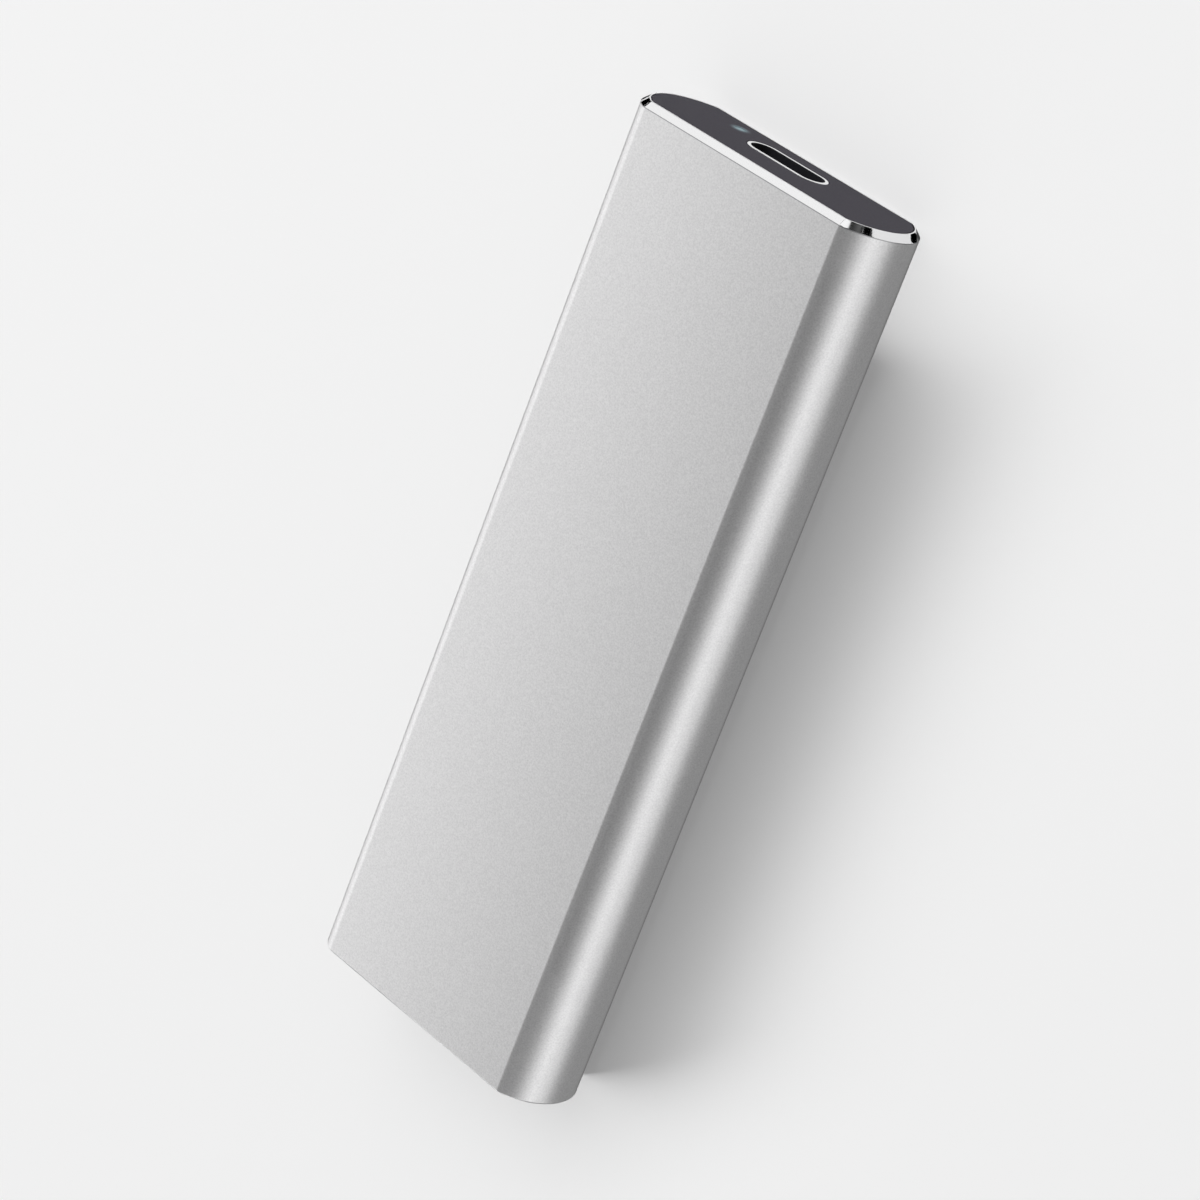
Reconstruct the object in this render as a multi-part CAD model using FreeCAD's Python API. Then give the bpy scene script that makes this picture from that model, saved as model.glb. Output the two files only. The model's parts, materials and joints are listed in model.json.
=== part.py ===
# Portable solid state drive: an extruded aluminium sleeve with a moulded cap in each end. Inside
# lies a bridge board with an oval data port, and a plug-in memory card that stands over the board.
#
# The drive lies on its back. X runs across its width, Y along its length from the port end to the
# plain end, and Z up through its thickness. The origin is the middle of the face it lies on.
# All sizes are in millimetres.

import FreeCAD, Part
import math
import os

# Sleeve
SLEEVE_LENGTH = 88.0
SLEEVE_WIDTH = 31.0
SLEEVE_HEIGHT = 10.5
SIDE_BULGE = 3.0           # how far a round side stands out beyond the edge of the flat faces
CREASE_RADIUS = 1.0        # rounding where a flat face meets a round side
INNER_CREASE = 0.3         # the same inside the sleeve and on the caps
WALL = 1.2
MOUTH_CHAMFER = 0.6        # polished bevel round the port end
BEVEL_CREASE = 0.4         # rounding of the bevel's inner corners
RIM_LAND = 0.12            # flat ring left between the bevel and the cap
REAR_BREAK = 0.15          # broken edge of the plain end
LEDGE_BITE = 0.7           # how far a ledge reaches under the edge of the board

# Caps
CAP_FACE = 1.6             # thickness of a cap's outer plate
CAP_FIT = 0.06             # gap between cap and sleeve
CAP_EDGE = 0.1             # broken edge of the outer plate
SKIRT_WALL = 1.0
SKIRT_DEPTH = 4.0
BEAD_BITE = 0.15           # how far the snap bead reaches into the sleeve's wall
BEAD_WIDTH = 0.8
BEAD_INSET = 0.8           # from the end of the skirt to the bead

# Bridge board
BOARD_LIFT = 0.42          # room under the board
BOARD_THICKNESS = 1.0
BOARD_SIDE_GAP = 0.15
BOARD_END_PLAY = 0.2
BOARD_CORNER = 0.6
FILM_THICKNESS = 0.2
FILM_GAP = 0.25            # from the film to the ledges and caps

# Oval data port
PORT_OPENING_WIDTH = 8.34
PORT_OPENING_HEIGHT = 2.56
PORT_WALL = 0.4
PORT_DEPTH = 7.3
PORT_RIM = 0.06            # flare of the port's mouth
PORT_HOLE_GAP = 0.08       # between the port and the cap's cut-out
LEG_THICKNESS = 0.3
LEG_WIDTH = 1.0
LEG_SETBACKS = (2.9, 6.3)  # from the port's rim to the two pairs of legs
LEG_HOLE_GAP = 0.1
TONGUE_WIDTH = 6.69
TONGUE_THICKNESS = 0.7
TONGUE_SETBACK = 0.9       # from the port's rim to the tongue's tip
TONGUE_TIP = 0.15          # bevel of the tip
ROOT_THICKNESS = 1.3
ROOT_SETBACK = 4.7         # from the port's rim to the tongue's thick root
BASE_SETBACK = 5.8         # from the port's rim to the base that fills the shell
BASE_FIT = 0.03
CONTACT_COUNT = 12
CONTACT_PITCH = 0.5
CONTACT_WIDTH = 0.25
CONTACT_HEIGHT = 0.05
CONTACT_SETBACK = 1.0      # from the tongue's tip to the signal contacts
POWER_LEAD = 0.35          # how much nearer the tip the four supply contacts start
TAIL_REACH = 0.8
TAIL_RISE = 0.6
TAIL_HEIGHT = 0.15

# Lamp
LED_OFFSET = 7.4           # from the middle of the port, across the cap
LED_SIZE = (1.6, 0.7, 0.6)
LED_SETBACK = 0.4          # from the cap's inner face
LENS_WIDTH = 0.9
LENS_REACH = 0.25
PIPE_TIP = 1.0             # diameter that shows in the cap's face
PIPE_BODY = 1.5
PIPE_STEP = 0.8            # depth of the narrow part
PIPE_FIT = 0.04

# Parts on the bridge board
BRIDGE_SIZE = (7.0, 7.0, 0.85)
BRIDGE_SETBACK = 2.2       # from the port's back
FIRMWARE_BODY = (3.9, 4.9, 1.4)
FIRMWARE_LEAD_COUNT = 4
FIRMWARE_PITCH = 1.27
POWER_BODY = (1.6, 2.9, 1.0)
POWER_LEAD_COUNT = 3
POWER_PITCH = 0.95
LEAD_THICKNESS = 0.15
LEAD_WIDTH = 0.4
LEAD_REACH = 0.95
LEAD_FOOT = 0.5
CHIP_LIFT = 0.1            # room under a chip with bent leads
INDUCTOR_SIZE = (3.0, 3.0, 1.6)
INDUCTOR_CORNER = 0.5
CRYSTAL_BASE = (2.5, 2.0, 0.3)
CRYSTAL_LID = (2.2, 1.7, 0.35)
LID_CORNER = 0.16
CHIP_BEVEL = 0.08
MARK_DIAMETER = 0.7        # dimple by a chip's first pin
MARK_INSET = 0.9
MARK_DEPTH = 0.05
CAPACITOR_SIZE = (1.0, 0.5, 0.5)
RESISTOR_SIZE = (1.0, 0.5, 0.3)
SMALL_PART_PITCH = 1.5
CAPACITOR_COUNT = 6
RESISTOR_COUNT = 3

# Memory card and its socket
SOCKET_SETBACK = 2.6       # from the bridge chip
SOCKET_CHEEK = 0.945       # wall at each end of the slot
SOCKET_DEPTH = 6.2
SOCKET_HEIGHT = 4.2
SOCKET_EDGE = 0.3
PEG_DIAMETER = 1.0
PEG_INSET = 1.65           # from the ends of the socket
PEG_LENGTH = 0.8
PEG_HOLE_GAP = 0.06
SOCKET_TAIL_PITCH = 0.5
SOCKET_TAIL_COUNT = 34
SOCKET_TAIL_SIZE = (0.22, 1.0, 0.15)
CARD_LIFT = 2.45           # from the bridge board up to the card
CARD_WIDTH = 22.0
CARD_LENGTH = 42.0
CARD_THICKNESS = 0.8
CARD_STEP = 1.075          # how much narrower the plug-in edge is on each side
CARD_EDGE_LENGTH = 4.0
CARD_ENTRY = 3.7           # how far the edge goes into the socket
SLOT_GAP = 0.08
KEY_OFFSET = 6.125
KEY_NOTCH = 1.2
KEY_DEPTH = 3.5
KEY_RIB = 1.0
CARD_NOTCH_RADIUS = 1.75
CONTROLLER_SIZE = (8.0, 8.0, 1.0)
FLASH_SIZE = (13.5, 11.5, 1.2)
CARD_POWER_SIZE = (4.0, 4.0, 0.85)
CARD_CAPACITOR_COUNT = 6   # in a column along each side of the memory packages

# Card fastening
STANDOFF_DIAMETER = 5.2
STANDOFF_PILOT = 2.8
STANDOFF_PILOT_GAP = 0.1
COLLAR_GAP = 0.1           # between the standoff's collar and the card's notch
COLLAR_DROP = 0.1          # from the card's upper face down to the collar
THREAD_DIAMETER = 2.0
THREAD_DEPTH = 2.8
SCREW_FIT = 0.05
SCREW_SHANK = 2.3
SCREW_HEAD = 5.0
SCREW_HEAD_HEIGHT = 0.7
SCREW_DOME = 0.75          # how far the head slopes in at its top
SCREW_SLOT_LENGTH = 2.2
SCREW_SLOT_WIDTH = 0.5
SCREW_SLOT_DEPTH = 0.4

# Thermal pad
PAD_WIDTH = 18.0
PAD_CORNER = 0.8

CUT_MARGIN = 1.0           # how far a cut runs past the faces it opens

# Places that follow from the sizes
middle_z = SLEEVE_HEIGHT / 2
side_radius = (SIDE_BULGE ** 2 + middle_z ** 2) / (2 * SIDE_BULGE)
side_centre_x = SLEEVE_WIDTH / 2 - side_radius
rim = MOUTH_CHAMFER + RIM_LAND
port_end = -SLEEVE_LENGTH / 2
rear_end = SLEEVE_LENGTH / 2
cap_back = port_end + CAP_FACE
rear_cap_front = rear_end - CAP_FACE

ceiling = SLEEVE_HEIGHT - WALL
board_bottom = WALL + BOARD_LIFT
board_top = board_bottom + BOARD_THICKNESS
board_front = cap_back
board_rear = rear_cap_front - BOARD_END_PLAY
board_half_width = (side_centre_x - BOARD_SIDE_GAP
                    + math.sqrt((side_radius - WALL) ** 2 - (middle_z - board_bottom) ** 2))
ledge_edge = board_half_width - LEDGE_BITE
skirt_bottom = board_top + BOARD_SIDE_GAP

port_width = PORT_OPENING_WIDTH + 2 * PORT_WALL
port_height = PORT_OPENING_HEIGHT + 2 * PORT_WALL
port_z = board_top + port_height / 2
port_front = port_end
port_back = port_front + PORT_DEPTH
leg_x = port_width / 2 - LEG_THICKNESS / 2
contact_xs = [(i - (CONTACT_COUNT - 1) / 2) * CONTACT_PITCH for i in range(CONTACT_COUNT)]

led_front = cap_back + LED_SETBACK
led_z = board_top + LED_SIZE[2] / 2
bridge_y = port_back + BRIDGE_SETBACK + BRIDGE_SIZE[1] / 2
bridge_rear = bridge_y + BRIDGE_SIZE[1] / 2
bridge_edge = BRIDGE_SIZE[0] / 2
firmware_x = (bridge_edge + board_half_width) / 2
power_width = POWER_BODY[0] + 2 * LEAD_REACH
power_gap = (board_half_width - bridge_edge - power_width - INDUCTOR_SIZE[0]) / 3
power_x = power_gap + power_width / 2 - board_half_width
inductor_x = -bridge_edge - power_gap - INDUCTOR_SIZE[0] / 2

card_edge_width = CARD_WIDTH - 2 * CARD_STEP
slot_width = card_edge_width + 2 * SLOT_GAP
socket_width = slot_width + 2 * SOCKET_CHEEK
peg_x = socket_width / 2 - PEG_INSET
socket_front = bridge_rear + SOCKET_SETBACK
socket_rear = socket_front + SOCKET_DEPTH
card_bottom = board_top + CARD_LIFT
card_top = card_bottom + CARD_THICKNESS
card_front = socket_rear - CARD_ENTRY
card_rear = card_front + CARD_LENGTH
card_shoulder = card_front + CARD_EDGE_LENGTH
chip_room = card_rear - SCREW_HEAD / 2 - card_shoulder
chip_gap = (chip_room - CONTROLLER_SIZE[1] - 2 * FLASH_SIZE[1]) / 4
controller_y = card_shoulder + chip_gap + CONTROLLER_SIZE[1] / 2
flash_1_y = controller_y + CONTROLLER_SIZE[1] / 2 + chip_gap + FLASH_SIZE[1] / 2
flash_2_y = flash_1_y + FLASH_SIZE[1] + chip_gap
side_gap = (CARD_WIDTH - CONTROLLER_SIZE[0] - CARD_POWER_SIZE[0]) / 3
controller_x = side_gap + CONTROLLER_SIZE[0] / 2 - CARD_WIDTH / 2
card_power_x = CARD_WIDTH / 2 - side_gap - CARD_POWER_SIZE[0] / 2
chips_top = card_top + FLASH_SIZE[2]
collar_radius = CARD_NOTCH_RADIUS - COLLAR_GAP
collar_top = card_top - COLLAR_DROP


def vector(x, y, z):
    return FreeCAD.Vector(x, y, z)


def about(centre, size):
    """The span of a size about its centre."""
    return (centre - size / 2, centre + size / 2)


def block(x_span, y_span, z_span):
    """A box between two places on each axis."""
    corner = vector(x_span[0], y_span[0], z_span[0])
    size = [span[1] - span[0] for span in (x_span, y_span, z_span)]
    return Part.makeBox(size[0], size[1], size[2], corner)


def post(x, y, z_span, diameter):
    """An upright cylinder."""
    height = z_span[1] - z_span[0]
    return Part.makeCylinder(diameter / 2, height, vector(x, y, z_span[0]))


def profile(points):
    """A flat face with straight edges through the points."""
    return Part.Face(Part.makePolygon(points + points[:1]))


def edges_where(shape, test):
    """The edges whose every vertex passes a test."""
    return [edge for edge in shape.Edges if all(test(v.Point) for v in edge.Vertexes)]


def upright_edges(shape):
    """The edges that run straight up."""
    found = []
    for edge in shape.Edges:
        ends = [v.Point for v in edge.Vertexes]
        if len(ends) == 2 and math.hypot(ends[0].x - ends[1].x, ends[0].y - ends[1].y) < 1e-6:
            found.append(edge)
    return found


def sleeve_outline(inset, y, crease=INNER_CREASE):
    """The sleeve's section moved in by an inset: two flats, two side arcs and four small arcs."""
    flat = middle_z - inset
    radius = side_radius - inset
    small_z = flat - crease
    small_x = side_centre_x + math.sqrt((radius - crease) ** 2 - small_z ** 2)
    start = math.atan2(small_z, small_x - side_centre_x)
    bend = (start + math.pi / 2) / 2
    flat_end = (small_x, flat)
    bend_middle = (small_x + crease * math.cos(bend), small_z + crease * math.sin(bend))
    side_start = (side_centre_x + radius * math.cos(start), radius * math.sin(start))
    side_middle = (side_centre_x + radius, 0.0)

    def at(point, right, up):
        return vector(point[0] * right, y, middle_z + point[1] * up)

    def arc(a, b, c):
        return Part.Arc(a, b, c).toShape()

    edges = [Part.makeLine(at(flat_end, -1, 1), at(flat_end, 1, 1))]
    edges.append(arc(at(flat_end, 1, 1), at(bend_middle, 1, 1), at(side_start, 1, 1)))
    edges.append(arc(at(side_start, 1, 1), at(side_middle, 1, 1), at(side_start, 1, -1)))
    edges.append(arc(at(side_start, 1, -1), at(bend_middle, 1, -1), at(flat_end, 1, -1)))
    edges.append(Part.makeLine(at(flat_end, 1, -1), at(flat_end, -1, -1)))
    edges.append(arc(at(flat_end, -1, -1), at(bend_middle, -1, -1), at(side_start, -1, -1)))
    edges.append(arc(at(side_start, -1, -1), at(side_middle, -1, 1), at(side_start, -1, 1)))
    edges.append(arc(at(side_start, -1, 1), at(bend_middle, -1, 1), at(flat_end, -1, 1)))
    return Part.Wire(edges)


def sleeve_prism(inset, y_span, crease=INNER_CREASE):
    """The sleeve's section drawn out along its length."""
    face = Part.Face(sleeve_outline(inset, y_span[0], crease))
    return face.extrude(vector(0, y_span[1] - y_span[0], 0))


def sleeve_bevel(start, end):
    """A sloping length between two sections, each given as inset, place and crease."""
    return Part.makeLoft([sleeve_outline(*start), sleeve_outline(*end)], True, True)


def oval_prism(width, height, y_span):
    """The port's outline, with full round ends, drawn out along the length."""
    reach = (width - height) / 2
    radius = height / 2
    y = y_span[0]
    top = Part.makeLine(vector(-reach, y, port_z + radius), vector(reach, y, port_z + radius))
    right = Part.Arc(vector(reach, y, port_z + radius), vector(reach + radius, y, port_z),
                     vector(reach, y, port_z - radius)).toShape()
    base = Part.makeLine(vector(reach, y, port_z - radius), vector(-reach, y, port_z - radius))
    left = Part.Arc(vector(-reach, y, port_z - radius), vector(-reach - radius, y, port_z),
                    vector(-reach, y, port_z + radius)).toShape()
    face = Part.Face(Part.Wire([top, right, base, left]))
    return face.extrude(vector(0, y_span[1] - y_span[0], 0))


def chip(x, y, z, size):
    """A moulded package with bevelled upper edges and a dimple by its first pin."""
    body = block(about(x, size[0]), about(y, size[1]), (z, z + size[2]))
    top_edges = edges_where(body, lambda p: p.z > z + size[2] - 1e-6)
    body = body.makeChamfer(CHIP_BEVEL, top_edges)
    mark_x = x - size[0] / 2 + MARK_INSET
    mark_y = y - size[1] / 2 + MARK_INSET
    mark_z = z + size[2] - MARK_DEPTH
    return body.cut(post(mark_x, mark_y, (mark_z, mark_z + CUT_MARGIN), MARK_DIAMETER))


def leaded_chip(x, y, z, size, count, pitch):
    """A package with a row of bent leads on each side, standing a little off the board."""
    base = z + CHIP_LIFT
    body = chip(x, y, base, size)
    root = base + size[2] / 2
    leads = []
    for side in (-1, 1):
        start = size[0] / 2 - LEAD_THICKNESS
        knee = size[0] / 2 + LEAD_REACH - LEAD_FOOT
        toe = size[0] / 2 + LEAD_REACH
        outline = [(start, root), (knee, root), (knee, z + LEAD_THICKNESS), (toe, z + LEAD_THICKNESS),
                   (toe, z), (knee - LEAD_THICKNESS, z), (knee - LEAD_THICKNESS, root - LEAD_THICKNESS),
                   (start, root - LEAD_THICKNESS)]
        for i in range(count):
            lead_y = y + (i - (count - 1) / 2) * pitch - LEAD_WIDTH / 2
            points = [vector(x + side * px, lead_y, pz) for px, pz in outline]
            leads.append(profile(points).extrude(vector(0, LEAD_WIDTH, 0)))
    return body.multiFuse(leads).removeSplitter()


def small_parts(size, places, z):
    """Equal small parts on a board, one solid at each place."""
    solids = []
    for x, y in places:
        solids.append(block(about(x, size[0]), about(y, size[1]), (z, z + size[2])))
    return Part.makeCompound(solids)


def make_sleeve():
    """Drawn tube with a bevelled mouth, a seat for each cap, snap grooves and two board ledges."""
    body_span = (port_end + MOUTH_CHAMFER, rear_end - REAR_BREAK)
    mouth = sleeve_bevel((MOUTH_CHAMFER, port_end, BEVEL_CREASE), (0.0, body_span[0], CREASE_RADIUS))
    tail = sleeve_bevel((0.0, body_span[1], CREASE_RADIUS), (REAR_BREAK, rear_end, CREASE_RADIUS))
    outer = sleeve_prism(0.0, body_span, CREASE_RADIUS).multiFuse([mouth, tail])

    cavity = sleeve_prism(WALL, (port_end, rear_end))
    for side in (-1, 1):
        ledge_span = sorted((side * ledge_edge, side * SLEEVE_WIDTH / 2))
        cavity = cavity.cut(block(ledge_span, (port_end, rear_end), (0.0, board_bottom)))
    seats = [sleeve_prism(rim, (port_end, cap_back)), sleeve_prism(rim, (rear_cap_front, rear_end))]

    grooves = []
    for bead_span in (port_bead_span(), rear_bead_span()):
        groove_span = (bead_span[0] - CAP_FIT, bead_span[1] + CAP_FIT)
        ring = sleeve_prism(WALL - BEAD_BITE - CAP_FIT, groove_span)
        grooves.append(above(ring, board_top))
    return outer.cut([cavity] + seats + grooves).removeSplitter()


def above(shape, z):
    """What lies above a height."""
    box = shape.BoundBox
    x_span = (box.XMin - CUT_MARGIN, box.XMax + CUT_MARGIN)
    y_span = (box.YMin - CUT_MARGIN, box.YMax + CUT_MARGIN)
    keep = block(x_span, y_span, (z, box.ZMax + CUT_MARGIN))
    return shape.common(keep)


def port_bead_span():
    end = cap_back + SKIRT_DEPTH - BEAD_INSET
    return (end - BEAD_WIDTH, end)


def rear_bead_span():
    start = rear_cap_front - SKIRT_DEPTH + BEAD_INSET
    return (start, start + BEAD_WIDTH)


def cap_skirt(skirt_span, bead_span):
    """The arch of a cap that plugs into the sleeve over the board, with its snap bead."""
    arch = sleeve_prism(WALL + CAP_FIT, skirt_span)
    bead = sleeve_prism(WALL - BEAD_BITE, bead_span)
    hollow_span = (skirt_span[0] - CUT_MARGIN, skirt_span[1] + CUT_MARGIN)
    hollow = sleeve_prism(WALL + CAP_FIT + SKIRT_WALL, hollow_span)
    return above(arch.fuse(bead).cut(hollow), skirt_bottom)


def make_port_cap():
    """Cap with the port's oval cut-out and a stepped hole for the light pipe."""
    inset = rim + CAP_FIT
    edge_y = port_end + CAP_EDGE
    bevel = sleeve_bevel((inset + CAP_EDGE, port_end, INNER_CREASE), (inset, edge_y, INNER_CREASE))
    plate = sleeve_prism(inset, (edge_y, cap_back))
    skirt = cap_skirt((cap_back, cap_back + SKIRT_DEPTH), port_bead_span())
    body = plate.multiFuse([bevel, skirt])

    gap = 2 * PORT_HOLE_GAP
    through = (port_end - CUT_MARGIN, cap_back + CUT_MARGIN)
    opening = oval_prism(port_width + gap, port_height + gap, through)
    start = vector(LED_OFFSET, through[0], led_z)
    reach = through[1] - through[0]
    front_hole = Part.makeCylinder(PIPE_TIP / 2 + PIPE_FIT, reach, start, vector(0, 1, 0))
    step = vector(LED_OFFSET, port_end + PIPE_STEP, led_z)
    back_hole = Part.makeCylinder(PIPE_BODY / 2 + PIPE_FIT, CAP_FACE, step, vector(0, 1, 0))
    return body.cut([opening, front_hole, back_hole]).removeSplitter()


def make_rear_cap():
    """Plain cap of the far end."""
    inset = rim + CAP_FIT
    edge_y = rear_end - CAP_EDGE
    bevel = sleeve_bevel((inset, edge_y, INNER_CREASE), (inset + CAP_EDGE, rear_end, INNER_CREASE))
    plate = sleeve_prism(inset, (rear_cap_front, edge_y))
    skirt = cap_skirt((rear_cap_front - SKIRT_DEPTH, rear_cap_front), rear_bead_span())
    return plate.multiFuse([bevel, skirt]).removeSplitter()


def make_light_pipe():
    """Clear stepped pin turned about the lamp's axis, flush with the cap's face."""
    step_y = port_end + PIPE_STEP + PIPE_FIT
    rim_y = port_end
    points = [(0, rim_y), (PIPE_TIP / 2, rim_y), (PIPE_TIP / 2, step_y), (PIPE_BODY / 2, step_y),
              (PIPE_BODY / 2, cap_back), (0, cap_back)]
    half = profile([vector(LED_OFFSET + r, y, led_z) for r, y in points])
    return half.revolve(vector(LED_OFFSET, 0, led_z), vector(0, 1, 0), 360)


def make_bridge_board():
    """Board that lies on the sleeve's ledges between the caps, with slots, peg holes and a pilot."""
    plate = block((-board_half_width, board_half_width), (board_front, board_rear),
                  (board_bottom, board_top))
    plate = plate.makeFillet(BOARD_CORNER, upright_edges(plate))
    depth = (board_bottom - CUT_MARGIN, board_top + CUT_MARGIN)
    holes = []
    for setback in LEG_SETBACKS:
        for side in (-1, 1):
            slot_x = about(side * leg_x, LEG_THICKNESS + 2 * LEG_HOLE_GAP)
            slot_y = about(port_front + setback, LEG_WIDTH + 2 * LEG_HOLE_GAP)
            holes.append(block(slot_x, slot_y, depth))
    for side in (-1, 1):
        peg_hole = PEG_DIAMETER + 2 * PEG_HOLE_GAP
        holes.append(post(side * peg_x, socket_front + SOCKET_DEPTH / 2, depth, peg_hole))
    holes.append(post(0, card_rear, depth, STANDOFF_PILOT + 2 * STANDOFF_PILOT_GAP))
    return plate.cut(holes)


def make_port_shell():
    """Drawn oval tube with a flared mouth and four legs that pass through the board."""
    tube = oval_prism(port_width, port_height, (port_front, port_back))
    through = (port_front - CUT_MARGIN, port_back + CUT_MARGIN)
    bore = oval_prism(PORT_OPENING_WIDTH, PORT_OPENING_HEIGHT, through)
    legs = []
    for setback in LEG_SETBACKS:
        for side in (-1, 1):
            leg_y = about(port_front + setback, LEG_WIDTH)
            legs.append(block(about(side * leg_x, LEG_THICKNESS), leg_y, (board_bottom, port_z)))
    body = tube.multiFuse(legs).cut(bore).removeSplitter()
    mouth = [edge for edge in edges_where(body, lambda p: p.y < port_front + 1e-6)
             if inside_mouth(edge)]
    return body.makeChamfer(PORT_RIM, mouth)


def inside_mouth(edge):
    """True for an edge of the port's opening, and not of its outside."""
    box = edge.BoundBox
    across = max(abs(box.XMin), abs(box.XMax))
    up = max(abs(box.ZMin - port_z), abs(box.ZMax - port_z))
    return across < PORT_OPENING_WIDTH / 2 + 0.01 and up < PORT_OPENING_HEIGHT / 2 + 0.01


def make_port_tongue():
    """Tongue with a bevelled tip and a thick root, on a base that fills the port's shell."""
    tip = port_front + TONGUE_SETBACK
    root = port_front + ROOT_SETBACK
    base = port_front + BASE_SETBACK
    thin = TONGUE_THICKNESS / 2
    thick = ROOT_THICKNESS / 2
    upper = [(tip, thin - TONGUE_TIP), (tip + TONGUE_TIP, thin), (root, thin), (root, thick),
             (base, thick)]
    outline = upper + [(y, -z) for y, z in reversed(upper)]
    points = [vector(-TONGUE_WIDTH / 2, y, port_z + z) for y, z in outline]
    tongue = profile(points).extrude(vector(TONGUE_WIDTH, 0, 0))
    filler = oval_prism(PORT_OPENING_WIDTH - 2 * BASE_FIT, PORT_OPENING_HEIGHT - 2 * BASE_FIT,
                        (base, port_back))
    return tongue.fuse(filler).removeSplitter()


def make_port_contacts():
    """Contact blades on both faces of the tongue; the four supply blades reach nearer the tip."""
    supply = (0, 3, CONTACT_COUNT - 4, CONTACT_COUNT - 1)
    signal_start = port_front + TONGUE_SETBACK + CONTACT_SETBACK
    blades = []
    for i, x in enumerate(contact_xs):
        start = signal_start - (POWER_LEAD if i in supply else 0.0)
        y_span = (start, port_front + ROOT_SETBACK)
        for side in (-1, 1):
            face_z = port_z + side * TONGUE_THICKNESS / 2
            z_span = sorted((face_z, face_z + side * CONTACT_HEIGHT))
            blades.append(block(about(x, CONTACT_WIDTH), y_span, z_span))
    return Part.makeCompound(blades)


def make_port_tails():
    """Bent solder tails that stand on the board behind the port."""
    outline = [(port_back, board_top), (port_back + TAIL_REACH, board_top),
               (port_back + TAIL_REACH, board_top + TAIL_HEIGHT),
               (port_back + TAIL_HEIGHT, board_top + TAIL_HEIGHT),
               (port_back + TAIL_HEIGHT, board_top + TAIL_RISE), (port_back, board_top + TAIL_RISE)]
    tails = []
    for x in contact_xs:
        points = [vector(x - CONTACT_WIDTH / 2, y, z) for y, z in outline]
        tails.append(profile(points).extrude(vector(CONTACT_WIDTH, 0, 0)))
    return Part.makeCompound(tails)


def make_status_led():
    """Side-shining lamp with a round lens towards the cap."""
    width, depth, height = LED_SIZE
    body = block(about(LED_OFFSET, width), (led_front, led_front + depth),
                 (board_top, board_top + height))
    lens = Part.makeCylinder(LENS_WIDTH / 2, height, vector(LED_OFFSET, led_front, board_top))
    flat = block(about(LED_OFFSET, width), (led_front - LENS_REACH, led_front + depth),
                 (board_top, board_top + height))
    return body.fuse(lens.common(flat)).removeSplitter()


def make_bridge_chip():
    return chip(0.0, bridge_y, board_top, BRIDGE_SIZE)


def make_firmware_chip():
    size = FIRMWARE_BODY
    return leaded_chip(firmware_x, bridge_y, board_top, size, FIRMWARE_LEAD_COUNT, FIRMWARE_PITCH)


def make_power_chip():
    size = POWER_BODY
    y = bridge_rear - size[1] / 2
    return leaded_chip(power_x, y, board_top, size, POWER_LEAD_COUNT, POWER_PITCH)


def make_power_inductor():
    """Moulded coil block with rounded corners."""
    size = INDUCTOR_SIZE
    y = bridge_rear - size[1] / 2
    body = block(about(inductor_x, size[0]), about(y, size[1]), (board_top, board_top + size[2]))
    return body.makeFillet(INDUCTOR_CORNER, upright_edges(body))


def make_clock_crystal():
    """Ceramic base with a smaller metal lid."""
    y = bridge_y - BRIDGE_SIZE[1] / 2 + CRYSTAL_BASE[1] / 2
    seam = board_top + CRYSTAL_BASE[2]
    base = block(about(inductor_x, CRYSTAL_BASE[0]), about(y, CRYSTAL_BASE[1]), (board_top, seam))
    lid = block(about(inductor_x, CRYSTAL_LID[0]), about(y, CRYSTAL_LID[1]),
                (seam, seam + CRYSTAL_LID[2]))
    lid = lid.makeFillet(LID_CORNER, upright_edges(lid))
    return base.fuse(lid)


def make_board_capacitors():
    """A row between the bridge chip and the socket."""
    y = (bridge_rear + socket_front - SOCKET_TAIL_SIZE[1]) / 2
    first = -(CAPACITOR_COUNT - 1) * SMALL_PART_PITCH / 2
    places = [(first + i * SMALL_PART_PITCH, y) for i in range(CAPACITOR_COUNT)]
    return small_parts(CAPACITOR_SIZE, places, board_top)


def make_board_resistors():
    """A column beside the port, on the lamp's side."""
    first = led_front + LED_SIZE[1] + SMALL_PART_PITCH
    places = [(LED_OFFSET, first + i * SMALL_PART_PITCH) for i in range(RESISTOR_COUNT)]
    return small_parts(RESISTOR_SIZE, places, board_top)


def make_card_socket():
    """Edge socket: a long block with a slot to the rear, a key rib and two pegs in the board."""
    body = block(about(0.0, socket_width), (socket_front, socket_rear),
                 (board_top, board_top + SOCKET_HEIGHT))
    top_edges = edges_where(body, lambda p: p.z > board_top + SOCKET_HEIGHT - 1e-6)
    body = body.makeChamfer(SOCKET_EDGE, top_edges)
    slot_front = card_front - CARD_EDGE_LENGTH + CARD_ENTRY
    slot_z = (card_bottom - SLOT_GAP, card_top + SLOT_GAP)
    slot_x = about(0.0, slot_width)
    slot = block(slot_x, (slot_front, socket_rear + CUT_MARGIN), slot_z)
    rib_rear = slot_front + KEY_DEPTH
    rib = block(about(KEY_OFFSET, KEY_RIB), (slot_front, rib_rear), slot_z)
    pegs = []
    for side in (-1, 1):
        z_span = (board_top - PEG_LENGTH, board_top + SOCKET_EDGE)
        pegs.append(post(side * peg_x, socket_front + SOCKET_DEPTH / 2, z_span, PEG_DIAMETER))
    return body.cut(slot.cut(rib)).multiFuse(pegs).removeSplitter()


def make_socket_tails():
    """A row of solder tails along each long side of the socket."""
    width, depth, height = SOCKET_TAIL_SIZE
    tails = []
    for i in range(SOCKET_TAIL_COUNT):
        x = (i - (SOCKET_TAIL_COUNT - 1) / 2) * SOCKET_TAIL_PITCH
        z_span = (board_top, board_top + height)
        tails.append(block(about(x, width), (socket_front - depth, socket_front), z_span))
        tails.append(block(about(x, width), (socket_rear, socket_rear + depth), z_span))
    return Part.makeCompound(tails)


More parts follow.
